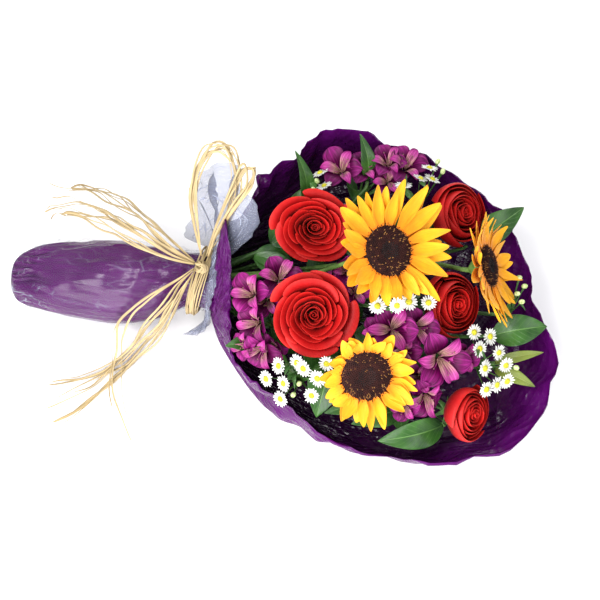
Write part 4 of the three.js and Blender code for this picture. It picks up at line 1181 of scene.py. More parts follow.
class Palette:
    """Every finish of the bouquet, built once."""

    def __init__(self) -> None:
        """Builds the materials."""
        effects = Effects()
        # The rose's near-black foot colour, held over the lower part of each petal, is painted shade deep
        # between the petals.
        self.rose = PetalFinish(
            "rose_petal", sheen=0.08, sheen_tint=(1.0, 0.2, 0.15), specular=0.2,
            foot=(0.035, 0.0, 0.001), body=(0.42, 0.004, 0.005), lip=(0.56, 0.015, 0.012),
            streak=(0.28, 0.001, 0.002), streak_share=0.25, foot_to=0.4, body_at=0.85,
        ).build(effects)
        self.ray = PetalFinish(
            "sunflower_ray", roughness=0.55, sheen=0.05, specular=0.2,
            foot=(0.7, 0.16, 0.002), body=(0.84, 0.37, 0.007), lip=(0.86, 0.45, 0.02),
            streak=(0.66, 0.23, 0.002), streak_share=0.55, count=9.0, body_at=0.4,
        ).build(effects)
        self.disc = PlainFinish(
            "sunflower_disc", roughness=0.75, specular=0.2,
            dark=(0.012, 0.003, 0.003), light=(0.045, 0.01, 0.007), scale=220.0,
        ).build(effects)
        self.disc_middle = PlainFinish(
            "sunflower_disc_middle", roughness=0.8, specular=0.2,
            dark=(0.004, 0.004, 0.004), light=(0.022, 0.02, 0.02), scale=260.0,
        ).build(effects)
        self.pollen = PlainFinish(
            "sunflower_pollen", roughness=0.8, specular=0.2,
            dark=(0.14, 0.045, 0.015), light=(0.4, 0.2, 0.06), scale=300.0,
        ).build(effects)
        self.magenta = PetalFinish(
            "alstroemeria_petal", roughness=0.45, specular=0.12,
            foot=(0.05, 0.001, 0.02), body=(0.22, 0.002, 0.12), lip=(0.52, 0.035, 0.34),
            streak=(0.026, 0.0, 0.012), streak_share=0.95, count=13.0, foot_to=0.12, body_at=0.5,
            patch_scale=26.0, patch_dark=0.4,
        ).build(effects)
        self.striped = PetalFinish(
            "alstroemeria_inner_petal", roughness=0.45, specular=0.12,
            foot=(0.72, 0.45, 0.34), body=(0.6, 0.1, 0.38), lip=(0.42, 0.012, 0.25),
            streak=(0.08, 0.0, 0.04), streak_share=0.95, count=10.0, foot_to=0.28, body_at=0.62,
        ).build(effects)
        self.anther = PlainFinish(
            "alstroemeria_anther", roughness=0.7,
            dark=(0.1, 0.03, 0.05), light=(0.24, 0.14, 0.08), scale=300.0,
        ).build(effects)
        self.white = PetalFinish(
            "aster_ray", roughness=0.55, sheen=0.1, specular=0.2,
            foot=(0.5, 0.54, 0.3), body=(0.72, 0.72, 0.67), lip=(0.8, 0.8, 0.78),
            streak=(0.5, 0.5, 0.47), streak_share=0.45, count=5.0, body_at=0.3,
        ).build(effects)
        self.button = PlainFinish(
            "aster_button", roughness=0.8, specular=0.2,
            dark=(0.34, 0.33, 0.01), light=(0.66, 0.6, 0.05), scale=900.0,
        ).build(effects)
        self.bud = PlainFinish(
            "aster_bud", roughness=0.6, dark=(0.26, 0.4, 0.08), light=(0.72, 0.78, 0.45), scale=500.0,
        ).build(effects)
        self.stem = PlainFinish(
            "green_stem", dark=(0.02, 0.07, 0.01), light=(0.07, 0.16, 0.03),
        ).build(effects)
        self.sepal = PlainFinish(
            "rose_stem", dark=(0.02, 0.06, 0.012), light=(0.06, 0.14, 0.03),
        ).build(effects)
        self.head_back = PlainFinish(
            "sunflower_stem", roughness=0.7, dark=(0.04, 0.1, 0.012), light=(0.12, 0.22, 0.04),
        ).build(effects)
        self.leaf = LeafFinish(
            "leaf", roughness=0.32,
            deep=(0.008, 0.04, 0.006), light=(0.045, 0.14, 0.02), vein=(0.12, 0.25, 0.06),
        ).build(effects)
        self.olive = LeafFinish(
            "olive_leaf", roughness=0.4, side_veins=7.0,
            deep=(0.07, 0.1, 0.012), light=(0.2, 0.25, 0.04), vein=(0.3, 0.33, 0.1),
        ).build(effects)
        # Its lighter crease colour paints lilac highlights along the creases.
        self.purple = FilmFinish(
            "purple_film", roughness=0.17, specular=0.18,
            base=(0.05, 0.0008, 0.062), crease=(0.13, 0.008, 0.16), crease_share=0.4,
            around=40.0, along=13.0,
        ).build(effects)
        # A near-black copy of the purple film for the sleeve's inner skin: painted shade inside the cup,
        # lightening to a painted lit band at the rim, with lighter creases as painted highlights.
        self.purple_inside_shaded = FilmFinish(
            "purple_film_inside_shaded", roughness=0.16, specular=0.4,
            base=(0.01, 0.001, 0.012), crease=(0.06, 0.002, 0.075), crease_share=0.4,
            around=52.0, along=15.0, rim=(0.065, 0.002, 0.085), lit_rim_from=0.88,
        ).build(effects)
        # Its lighter crease colour paints highlights along the handle's creases.
        self.wrapped = FilmFinish(
            "purple_film_wrapped", roughness=0.14, specular=0.24,
            base=(0.046, 0.0006, 0.052), crease=(0.1, 0.004, 0.115), crease_share=0.4,
            around=11.0, along=8.0, depth=3.4,
        ).build(effects)
        # Its whitish crease colour, opaque along the creases, paints white glints, densest at the handle's
        # ends and by the neck.
        self.clear = FilmFinish(
            "clear_film", roughness=0.1, specular=0.3,
            base=(0.15, 0.165, 0.25), crease=(0.5, 0.53, 0.64), crease_share=0.5,
            alpha=0.03, crease_glint_alpha=0.7, fan_alpha=0.34, fan_from=0.58, middle=0.14,
            around=17.0, along=12.0, depth=4.0,
        ).build(effects)
        self.raffia = PetalFinish(
            "raffia_fibre", roughness=0.6, specular=0.2,
            foot=(0.46, 0.35, 0.17), body=(0.64, 0.52, 0.3), lip=(0.5, 0.38, 0.19),
            streak=(0.24, 0.15, 0.06), streak_share=0.7, count=7.0, patch_scale=60.0,
        ).build(effects)


# ---------------------------------------------------------------- roses


@dataclass(frozen=True)
class PetalRing:
    """A ring of rose petals, sized in the bloom's radius."""

    count: int
    foot: float
    belly: float
    lip: float
    top: float
    roll: float
    overlap: float


OPEN_RINGS = (
    PetalRing(2, 0.03, 0.08, 0.1, 0.02, 0.0, 1.5),
    PetalRing(3, 0.05, 0.15, 0.19, 0.03, 0.01, 1.5),
    PetalRing(3, 0.08, 0.24, 0.29, 0.03, 0.03, 1.45),
    PetalRing(4, 0.11, 0.34, 0.41, 0.01, 0.05, 1.5),
    PetalRing(4, 0.14, 0.45, 0.54, -0.03, 0.09, 1.45),
    PetalRing(4, 0.17, 0.6, 0.69, -0.1, 0.14, 1.4),
    PetalRing(5, 0.2, 0.76, 0.85, -0.24, 0.17, 1.35),
)
CUP_RINGS = (
    PetalRing(2, 0.03, 0.08, 0.09, 0.17, 0.0, 1.5),
    PetalRing(3, 0.05, 0.16, 0.17, 0.17, 0.01, 1.5),
    PetalRing(3, 0.08, 0.28, 0.26, 0.17, 0.02, 1.5),
    PetalRing(3, 0.11, 0.45, 0.36, 0.16, 0.03, 1.5),
    PetalRing(3, 0.15, 0.68, 0.47, 0.15, 0.05, 1.45),
    PetalRing(3, 0.2, 0.92, 0.58, 0.13, 0.08, 1.45),
    PetalRing(3, 0.26, 1.16, 0.7, 0.08, 0.13, 1.4),
)


@dataclass
class Rose:
    """A red rose on its stem."""

    number: int
    bloom: Bloom
    columns: int = 10
    rows: int = 10
    heart_columns: int = 24
    chance: Chance = field(init=False)

    def __post_init__(self) -> None:
        """Starts the rose's own stream of numbers."""
        self.chance = Chance(Seed.ROSE + self.number)

    def petal(self, ring: PetalRing, around: float) -> Placer:
        """The surface of one petal.

        Args:
            ring: The ring that it is in.
            around: Its middle's angle.

        Returns:
            The place of each of its points.
        """
        radius = self.bloom.radius
        half = ring.overlap * math.pi / ring.count
        phase, wave = self.chance.between(0, 6), self.chance.between(0.006, 0.022)
        lift, lean = self.chance.between(-0.05, 0.04), self.chance.between(-0.05, 0.05) * ring.lip
        point_at, roll = self.chance.between(-0.3, 0.3), ring.roll * self.chance.between(0.7, 1.4)

        def place(u: float, v: float) -> Vector:
            """The petal's point: cupped, tucked under its neighbour on one side, and rolled at its lip.

            Args:
                u: From -1 to 1 across.
                v: From 0 at its foot to 1 at its lip.

            Returns:
                The point, about the bloom's middle.
            """
            up = v * (1 - 0.16 * abs(u) ** 2.6)
            angle = around + u * half * (0.45 + 0.55 * v**0.6)
            bow = math.sin(math.pi * min(1.0, up * 0.95) / 2) ** 0.8
            reach = lerp(ring.foot, lerp(ring.belly, ring.lip + lean, up**2), bow)
            curl = smoothstep(up, 0.68, 1.0)
            side = 0.6 + 0.4 * abs(u - point_at)
            reach += roll * (0.75 * curl * side + 0.1 * math.exp(-(((u - point_at) / 0.25) ** 2)) * curl)
            reach += 0.13 * ring.lip * u * min(1.0, 2 * v) + wave * math.sin(5 * u + phase) * up
            rise = -0.93 + (0.93 + ring.top + lift) * up**0.85 - roll * 0.75 * curl**2 * side
            return Vector((math.cos(angle) * reach, math.sin(angle) * reach, rise)) * radius

        return place

    def heart(self, u: float, v: float) -> Vector:
        """The innermost petal, rolled up on itself.

        Args:
            u: From -1 to 1 round the roll.
            v: From 0 at its foot to 1 at its lip.

        Returns:
            The point, about the bloom's middle.
        """
        angle = 1.6 * math.pi * (u + 1)
        reach = (0.012 + 0.075 * (u + 1) / 2) * (0.6 + 0.4 * v)
        top = 0.12 if self.bloom.form is RoseForm.CUP else 0.0
        rise = -0.9 + (0.9 + top) * v + 0.03 * v * math.sin(1.3 * angle)
        return Vector((math.cos(angle) * reach, math.sin(angle) * reach, rise)) * self.bloom.radius

    def build(self, frame: Frame, palette: Palette) -> None:
        """Builds the bloom and the stem.

        Args:
            frame: The loaded frame.
            palette: The finishes.
        """
        name = f"rose_{self.number + 1}"
        shape = Matrix.Diagonal((self.bloom.wide, self.bloom.tall, 1, 1))
        turn = Matrix.Rotation(math.radians(self.bloom.turn), 4, "Z")
        here = pose(Vector(self.bloom.at), Vector(self.bloom.facing)) @ shape @ turn
        work = Workpiece(f"{name}_petals")
        work.grid(self.heart_columns, self.rows, lambda u, v: here @ self.heart(u, v))
        rings = OPEN_RINGS if self.bloom.form is RoseForm.OPEN else CUP_RINGS
        for depth, ring in enumerate(rings):
            for i in range(ring.count):
                around = 2 * math.pi * (i + 0.44 * depth + 0.2 * self.chance.next()) / ring.count
                place = self.petal(ring, around)
                work.grid(self.columns, self.rows, lambda u, v, place=place: here @ place(u, v))
        work.finish([palette.rose], Slot.ROSE, [f"{name}_bloom"], thickness=0.45, levels=1)
        stem = Trimmed(f"{name}_stalk", frame["nodes"][f"{name}_stem"])
        stem.finish([palette.sepal], Slot.ROSE_STEM, [f"{name}_stem"], levels=1)
        foot = Vector(self.bloom.at) - Vector(self.bloom.facing).normalized() * self.bloom.radius
        leaves = Foliage(f"{name}_leaves", f"{name}_stem", foot, Slot.ROSE_STEM,
                         count=9, length=46, half=14, span=(0.06, 0.5))
        leaves.build(frame, [palette.leaf], Seed.ROSE_LEAF + self.number)


# ---------------------------------------------------------------- sunflowers


@dataclass
class Sunflower:
    """A sunflower: its ray petals in two rings, its disc of florets, and its stem."""

    number: int
    bloom: Bloom
    rays: int = 18
    florets: int = 620
    leaves_below: float = 34.0
    chance: Chance = field(init=False)

    def __post_init__(self) -> None:
        """Starts the flower's own stream of numbers."""
        self.chance = Chance(Seed.SUNFLOWER + self.number)

    def ray(self, angle: float, level: float, here: Matrix) -> Placer:
        """The surface of one ray petal.

        Args:
            angle: The way it points.
            level: The height of its foot.
            here: The flower's pose.

        Returns:
            The place of each of its points.
        """
        bloom, disc = self.bloom, self.bloom.disc
        besides = (len(ROSES) + self.number, len(ROSES) + len(SUNFLOWERS) + self.number)
        spread = bloom.spread + bloom.lopsided * math.cos(angle - math.radians(bloom.long_way))
        length = bloom.radius * spread * self.chance.between(0.8, 1.05)
        half = bloom.radius * self.chance.between(0.11, 0.165)
        sweep, curl = self.chance.between(-6, 6), bloom.cupped + self.chance.between(-6, 6)
        twist, fold = self.chance.between(-1.1, 1.1), self.chance.between(0.15, 0.45)
        sharp = self.chance.between(1.7, 2.6)

        def place(u: float, v: float) -> Vector:
            """The petal's point, folded along its middle, grooved, curled and twisted.

            Args:
                u: From -1 to 1 across.
                v: From 0 at its foot to 1 at its tip.

            Returns:
                The point.
            """
            out = lerp(0.93 * disc, length, v)
            width = half * (0.42 + 0.58 * smoothstep(v, 0.0, 0.4)) * (1 - v**sharp) ** 0.7
            turn = twist * v * v
            across = u * width
            lift = fold * width * (u * u - 0.5) + 0.3 * math.cos(3 * math.pi * u) * (1 - v) * min(1.0, 4 * v)
            side = across * math.cos(turn) - lift * math.sin(turn) + sweep * v * v
            high = across * math.sin(turn) + lift * math.cos(turn) + level + curl * v * v
            return bent_clear(here @ turned(out, side, high, angle), 1.0, besides)

        return place

    def build_rays(self, here: Matrix, palette: Palette) -> None:
        """Builds both rings of rays.

        Args:
            here: The flower's pose.
            palette: The finishes.
        """
        work = Workpiece(f"sunflower_{self.number + 1}_petals")
        for offset, level in ((0.0, 0.8), (0.5, -1.8)):
            for i in range(self.rays):
                angle = 2 * math.pi * (i + offset + self.chance.between(-0.22, 0.22)) / self.rays
                work.grid(6, 9, self.ray(angle, level, here))
        work.finish([palette.ray], Slot.RAY, [f"sunflower_{self.number + 1}_rays"], thickness=0.4, levels=1)

    def dome(self, reach: float) -> float:
        """The disc's height at a share of its radius: a shoulder about a shallow dip."""
        shoulder = 3.6 * math.sin(min(1.0, 1.8 * (1 - reach)) * math.pi / 2)
        return shoulder - 1.6 * (1 - smoothstep(reach, 0.0, 0.4))

    def build_disc(self, here: Matrix, palette: Palette) -> None:
        """Builds the dome and its florets, in the spirals that they grow in.

        Args:
            here: The flower's pose.
            palette: The finishes.
        """
        edge = self.bloom.disc + 0.5
        work = Workpiece(f"sunflower_{self.number + 1}_florets")

        def cap(u: float, v: float) -> Vector:
            """The dome itself."""
            angle = math.pi * (u + 1)
            return here @ Vector((edge * v * math.cos(angle), edge * v * math.sin(angle), self.dome(v) - 0.6))

        work.grid(36, 12, cap)
        for i in range(self.florets):
            reach = math.sqrt((i + 0.5) / self.florets)
            angle = i * math.pi * (3 - math.sqrt(5))
            ring = smoothstep(reach, 0.42, 0.62)
            height = 0.9 + self.chance.between(0.2, 0.8) + 2.0 * ring * self.chance.next()
            lean = Vector((math.cos(angle), math.sin(angle), 0)) * lerp(-0.25, 0.6, reach)
            spot = Vector((edge * reach * math.cos(angle), edge * reach * math.sin(angle), self.dome(reach)))
            floret = here @ pose(spot, Vector((0, 0, 1)) + lean, 360 * self.chance.next())
            made = bmesh.ops.create_cone(
                work.mesh, cap_ends=True, segments=5, radius1=0.72, radius2=0.25, depth=height
            )
            pick = self.chance.next()
            kind = 1 if pick < 0.02 + 0.16 * ring else 2 if reach < 0.34 else 0
            work.shape(made, floret, kind)
        finishes = [palette.disc, palette.pollen, palette.disc_middle]
        work.finish(finishes, Slot.DISC, [f"sunflower_{self.number + 1}_disc"])

    def build(self, frame: Frame, palette: Palette) -> None:
        """Builds the whole flower.

        Args:
            frame: The loaded frame.
            palette: The finishes.
        """
        facing = Vector(self.bloom.facing).normalized()
        here = pose(Vector(self.bloom.at), facing)
        self.build_rays(here, palette)
        self.build_disc(here, palette)
        name = f"sunflower_{self.number + 1}"
        stem = Trimmed(f"{name}_stalk", frame["nodes"][f"{name}_stem"])
        stem.finish([palette.head_back], Slot.SUNFLOWER_STEM, [f"{name}_stem"], levels=1)
        foot = Vector(self.bloom.at) - facing * self.leaves_below
        leaves = Foliage(f"{name}_leaves", f"{name}_stem", foot, Slot.SUNFLOWER_STEM,
                         count=8, length=54, half=19, span=(0.02, 0.5))
        leaves.build(frame, [palette.leaf], Seed.SUNFLOWER_LEAF + self.number)


# ---------------------------------------------------------------- alstroemerias


@dataclass
class Alstroemeria:
    """A stem of alstroemeria with its florets, which take the place of the solid's.

    The solid is cut away from cut_below under a floret's middle, within cut_within of it, both in its radius.
    """

    number: int
    place: FloretStem
    first: int
    grow: float = 1.22
    cut_below: float = 0.72
    cut_within: float = 1.35

    def petal(self, floret: Bloom, here: Matrix, angle: float, outer: bool, chance: Chance) -> Placer:
        """The surface of one petal.

        Args:
            floret: The floret.
            here: Its pose.
            angle: The way the petal points.
            outer: Whether it is one of the three broad ones.
            chance: The stream of numbers.

        Returns:
            The place of each of its points.
        """
        radius = floret.radius * self.grow
        half = (0.42 if outer else 0.2) * chance.between(0.9, 1.1)
        length = (0.98 if outer else 0.88) * chance.between(0.92, 1.06)
        rise = (0.1 if outer else 0.3) + chance.between(-0.1, 0.12)
        frill = chance.between(0, 6)

        def place(u: float, v: float) -> Vector:
            """The petal's point, from the funnel's throat to the recurved tip.

            Args:
                u: From -1 to 1 across.
                v: From 0 at its foot to 1 at its tip.

            Returns:
                The point.
            """
            out = 0.06 + (length - 0.06) * v**1.3
            width = half * math.sin(math.pi * min(1.0, 0.08 + 0.92 * v) ** 1.6) ** 0.7 + 0.05 * (1 - v)
            high = -0.66 + (0.66 + rise) * math.sin(math.pi * min(1.0, v * 1.1) / 2) - 0.2 * v**4
            high += (0.3 if outer else 0.5) * width * (u * u) + 0.035 * math.sin(7 * u + 9 * v + frill) * v
            side = u * width
            return bent_clear(here @ (turned(out, side, high, angle) * radius), 1.0)

        return place

    def floret(self, work: Workpiece, each: Bloom, here: Matrix, chance: Chance) -> None:
        """Adds a floret: three broad petals, three narrow striped ones and six stamens.

        Args:
            work: The piece that it goes on.
            each: The floret.
            here: Its pose.
            chance: The stream of numbers.
        """
        for k in range(6):
            outer = k % 2 == 0
            work.grid(6, 8, self.petal(each, here, k * math.pi / 3, outer, chance), 0 if outer else 1)
        for k in range(6):
            angle = 2 * math.pi * (k + chance.next()) / 6
            lean = chance.between(0.2, 0.6)
            path = [
                here @ (turned(lean * t, 0.0, 1.1 * t - 0.6 - 0.3 * t**3, angle) * each.radius)
                for t in (0, 0.25, 0.5, 0.75, 1)
            ]
            work.tube(path, lambda v: 0.35, 4, 1)
            made = bmesh.ops.create_icosphere(work.mesh, subdivisions=1, radius=0.9)
            work.shape(made, Matrix.Translation(path[-1]) @ Matrix.Diagonal((0.7, 0.7, 1.5, 1)), 2)

    def build(self, frame: Frame, palette: Palette) -> None:
        """Builds the florets, their stamens and the stem.

        Args:
            frame: The loaded frame.
            palette: The finishes.
        """
        node = f"alstroemeria_{self.number + 1}"
        work = Workpiece(f"{node}_florets")
        cuts: list[tuple[Vector, Vector, float]] = []
        hub = Vector(self.place.hub)
        for i, each in enumerate(self.place.florets + self.place.small):
            grown = i < len(self.place.florets)
            chance = Chance((Seed.FLORET if grown else Seed.SMALL_FLORET) + self.first + i)
            middle = bent_clear(Vector(each.at), 0.35 * each.radius)
            facing = Vector(each.facing).normalized()
            self.floret(work, each, pose(middle, facing, 360 * chance.next()), chance)
            if grown:
                cuts.append((middle, facing, each.radius))
            else:
                neck = middle - facing * (0.6 * each.radius)
                work.tube([hub, hub.lerp(neck, 0.5) - Vector((0, 0, 3)), neck], lambda v: 1.1, 6, 3)
        finishes = [palette.magenta, palette.striped, palette.anther, palette.stem]
        work.finish(finishes, Slot.ALSTROEMERIA, [node], thickness=0.35, levels=1)
        stem = Trimmed(f"{node}_stalk", frame["nodes"][node])
        stem.cut(lambda p: any(
            (p - m).dot(f) > -self.cut_below * r and (p - m).length < self.cut_within * r for m, f, r in cuts
        ))
        stem.finish([palette.stem], Slot.ALSTROEMERIA, [node], levels=1)
        leaves = Foliage(f"{node}_leaves", node, hub, Slot.ALSTROEMERIA,
                         count=5, length=36, half=6, span=(0.0, 0.3))
        leaves.build(frame, [palette.leaf], Seed.ALSTROEMERIA_LEAF + self.number)


# ---------------------------------------------------------------- asters

DAISY = 9.0  # an open head's radius
BUD = 3.6
DOME_CENTRE = Vector((85, 5, 30))  # the heads face away from it


@dataclass
class Aster:
    """A spray of small white asters, whose open heads take the place of the solid's.

    The solid is cut away from cut_below millimetres under a head, within cut_within of its radius.
    """

    number: int
    spray: Spray
    rays: int = 17
    cut_below: float = 2.4
    cut_within: float = 1.25
    leaves_above: float = 22.0

    def heads(self) -> list[tuple[Matrix, float, bool]]:
        """The pose, size and openness of each head.

        Returns:
            A row for each head, the daisies before the buds.
        """
        chance = Chance(Seed.ASTER_HEAD + self.number)
        found = []
        for at, opened in [(at, True) for at in self.spray.daisies] + [(at, False) for at in self.spray.buds]:
            middle = bent_clear(Vector(at), 2.5)
            facing = (middle - DOME_CENTRE).normalized()
            nudge = Vector((chance.next() - 0.5, chance.next() - 0.9, 0.6)) * 0.5
            here = pose(middle, facing + nudge, 45 * chance.next())
            size = DAISY * (0.88 + 0.12 * chance.next()) if opened else BUD
            found.append((here, size, opened))
        return found

    def daisy(self, work: Workpiece, here: Matrix, size: float, chance: Chance) -> None:
        """Adds an open head: its white rays and its yellow-green button.

        Args:
            work: The piece that it goes on.
            here: Its pose.
            size: Its radius.
            chance: The stream of numbers.
        """
        for i in range(self.rays):
            angle = 2 * math.pi * (i + chance.between(-0.15, 0.15)) / self.rays
            length, half = size * chance.between(0.88, 1.05), size * chance.between(0.12, 0.16)
            droop, level = chance.between(-0.5, 1.2), chance.between(0.0, 0.5)

            def place(u: float, v: float) -> Vector:
                """The ray's point.

                Args:
                    u: From -1 to 1 across.
                    v: From 0 at its foot to 1 at its tip.

                Returns:
                    The point.
                """
                out = lerp(0.25 * size, length, v)
                side = u * half * (0.5 + 0.5 * v) * (1 - v**4) ** 0.5
                high = level + droop * v * v + 0.15 * u * u
                return here @ turned(out, side, high, angle)

            work.grid(2, 4, place)
        made = bmesh.ops.create_icosphere(work.mesh, subdivisions=2, radius=1.0)
        for vert in made["verts"]:
            vert.co *= 1 + 0.08 * ruffle(*(5 * vert.co))
        scale = Matrix.Diagonal((0.33 * size, 0.33 * size, 0.22 * size, 1))
        work.shape(made, here @ Matrix.Translation((0, 0, 0.5)) @ scale, 1)

    def build(self, frame: Frame, palette: Palette) -> None:
        """Builds the heads, the buds and the branches.

        Args:
            frame: The loaded frame.
            palette: The finishes.
        """
        node = f"aster_{self.number + 1}"
        heads = self.heads()
        chance = Chance(Seed.ASTER_RAY + self.number)
        work = Workpiece(f"{node}_heads")
        for here, size, opened in heads:
            if opened:
                self.daisy(work, here, size, chance)
            else:
                made = bmesh.ops.create_icosphere(work.mesh, subdivisions=2, radius=0.75 * size)
                work.shape(made, here @ Matrix.Diagonal((0.85, 0.85, 1.15, 1)), 2)
        work.finish([palette.white, palette.button, palette.bud], Slot.ASTER, [node], thickness=0.25)
        stem = Trimmed(f"{node}_stalk", frame["nodes"][node])
        ways = [(here.inverted(), size) for here, size, opened in heads if opened]
        stem.cut(lambda p: any(
            (way @ p).z > -self.cut_below and (way @ p).length < self.cut_within * size for way, size in ways
        ))
        stem.finish([palette.stem], Slot.ASTER, [node], levels=1)
        top = Vector(self.spray.hub) + Vector((0, 0, self.leaves_above))
        leaves = Foliage(f"{node}_leaves", node, top, Slot.ASTER,
                         count=14, length=17, half=2.4, span=(0.0, 0.25))
        leaves.build(frame, [palette.leaf], Seed.ASTER_LEAF + self.number)


# ---------------------------------------------------------------- leaves


@dataclass(frozen=True)
class Blade:
    """One leaf, folded along its midrib, arched and waved at its edge."""

    place: LeafPlace
    seed: int

    def surface(self) -> Placer:
        """The leaf's surface.

        Returns:
            The place of each of its points.
        """
        chance, half = Chance(self.seed), self.place.half
        foot = Vector(self.place.foot)
        along = Vector(self.place.tip) - foot
        side = along.cross(Vector(self.place.face)).normalized()
        outward = side.cross(along).normalized()
        phase, wave = chance.between(0, 6), chance.between(0.05, 0.1) * half

        def place(u: float, v: float) -> Vector:
            """The leaf's point.

            Args:
                u: From -1 to 1 across.
                v: From 0 at its foot to 1 at its tip.

            Returns:
                The point.
            """
            width = half * math.sin(math.pi * (0.02 + 0.98 * v) ** 0.85) ** 0.8 * (1 - 0.25 * v)
            arch = 0.16 * along.length * math.sin(math.pi * v)
            lift = 0.2 * abs(u) * width + wave * u * u * math.sin(9 * v + phase + 2 * u)
            return bent_clear(foot + along * v + side * (u * width) + outward * (arch + lift), 1.0)

        return place


@dataclass
class Foliage:
    """The leaves on a flower's stem, below its bloom.

    A leaf that would hide a bloom is turned about the stem, and then tried at the smaller sizes. No tip
    goes below the lowest height, or nearer the handle than the nearest x.
    """

    name: str
    node: str
    top: Vector
    slot: Slot
    count: int
    length: float
    half: float
    span: tuple[float, float]
    sizes: tuple[float, ...] = (1.0, 0.6, 0.35)
    tries: int = 8
    lowest: float = 22.0
    nearest: float = -25.0

    def build(self, frame: Frame, materials: Sequence[bpy.types.Material], seed: int) -> None:
        """Builds the leaves, each from the nearest place on the stem.

        Args:
            frame: The loaded frame.
            materials: Their finish.
            seed: Seeds the way they lean.
        """
        chance = Chance(seed)
        stem = [vert.co / MM for vert in frame["nodes"][self.node].data.vertices]
        ahead = (self.top - TIE).normalized()
        work = Workpiece(self.name)
        level = ahead.cross(Vector((0, 0, 1))).normalized()
        for i in range(self.count):
            wanted = self.top.lerp(TIE, lerp(*self.span, (i + chance.next()) / self.count))
            foot = min(stem, key=lambda point: (point - wanted).length)
            for turn in range(self.tries * len(self.sizes)):
                grown = self.sizes[turn // self.tries]
                angle = 2 * math.pi * (0.382 * i + 0.27 * turn + 0.2 * chance.next())
                radial = level * math.cos(angle) + level.cross(ahead) * (0.75 * math.sin(angle) + 0.3)
                reach = self.length * grown * chance.between(0.75, 1.1)
                tip = foot + (ahead * chance.between(0.1, 0.7) + radial).normalized() * reach
                tip.z = max(tip.z, self.lowest)
                face = (0.2 * chance.next(), -0.4 * chance.next(), 1)
                leaf = LeafPlace(tuple(foot), tuple(tip), self.half * grown * chance.between(0.8, 1.1), face)
                surface = Blade(leaf, seed * LEAF_STEP + i).surface()
                seen = [surface(u, v) for u in (-1, 0, 1) for v in (0.2, 0.4, 0.6, 0.8, 1)]
                if tip.x > self.nearest and not any(hides_a_bloom(point) for point in seen):
                    work.grid(8, 10, surface)
                    break
        work.finish(materials, self.slot, [self.node], thickness=0.4, levels=1)


@dataclass
class LeafyStem:
    """A stem with its leaves."""

    number: int
    leaves: tuple[LeafPlace, ...]
    first: int

    def build(self, frame: Frame, palette: Palette) -> None:
        """Builds the leaves and the stem.

        Args:
            frame: The loaded frame.
            palette: The finishes.
        """
        node = f"leaf_stem_{self.number + 1}"
        olive = self.number == OLIVE_STEM
        slot = Slot.OLIVE_LEAF if olive else Slot.LEAF
        work = Workpiece(f"{node}_leaves")
        for i, each in enumerate(self.leaves):
            work.grid(10, 16, Blade(each, Seed.LEAF + self.first + i).surface())
        work.finish([palette.olive if olive else palette.leaf], slot, [node], thickness=0.5, levels=1)
        stem = Trimmed(f"{node}_stalk", frame["nodes"][node])

        def on_leaf(point: Vector) -> bool:
            """Whether a point is on one of the leaves.

            Args:
                point: The point.

            Returns:
                True where it is.
            """
            for each in self.leaves:
                along = Vector(each.tip) - Vector(each.foot)
                share = (point - Vector(each.foot)).dot(along) / along.length_squared
                off = (point - Vector(each.foot) - along * share).length
                if share > 0.05 and off < 1.8 * each.half:
                    return True
            return False

        stem.cut(on_leaf)
        stem.finish([palette.stem], slot, [node], levels=1)


# ---------------------------------------------------------------- sleeve and clear film


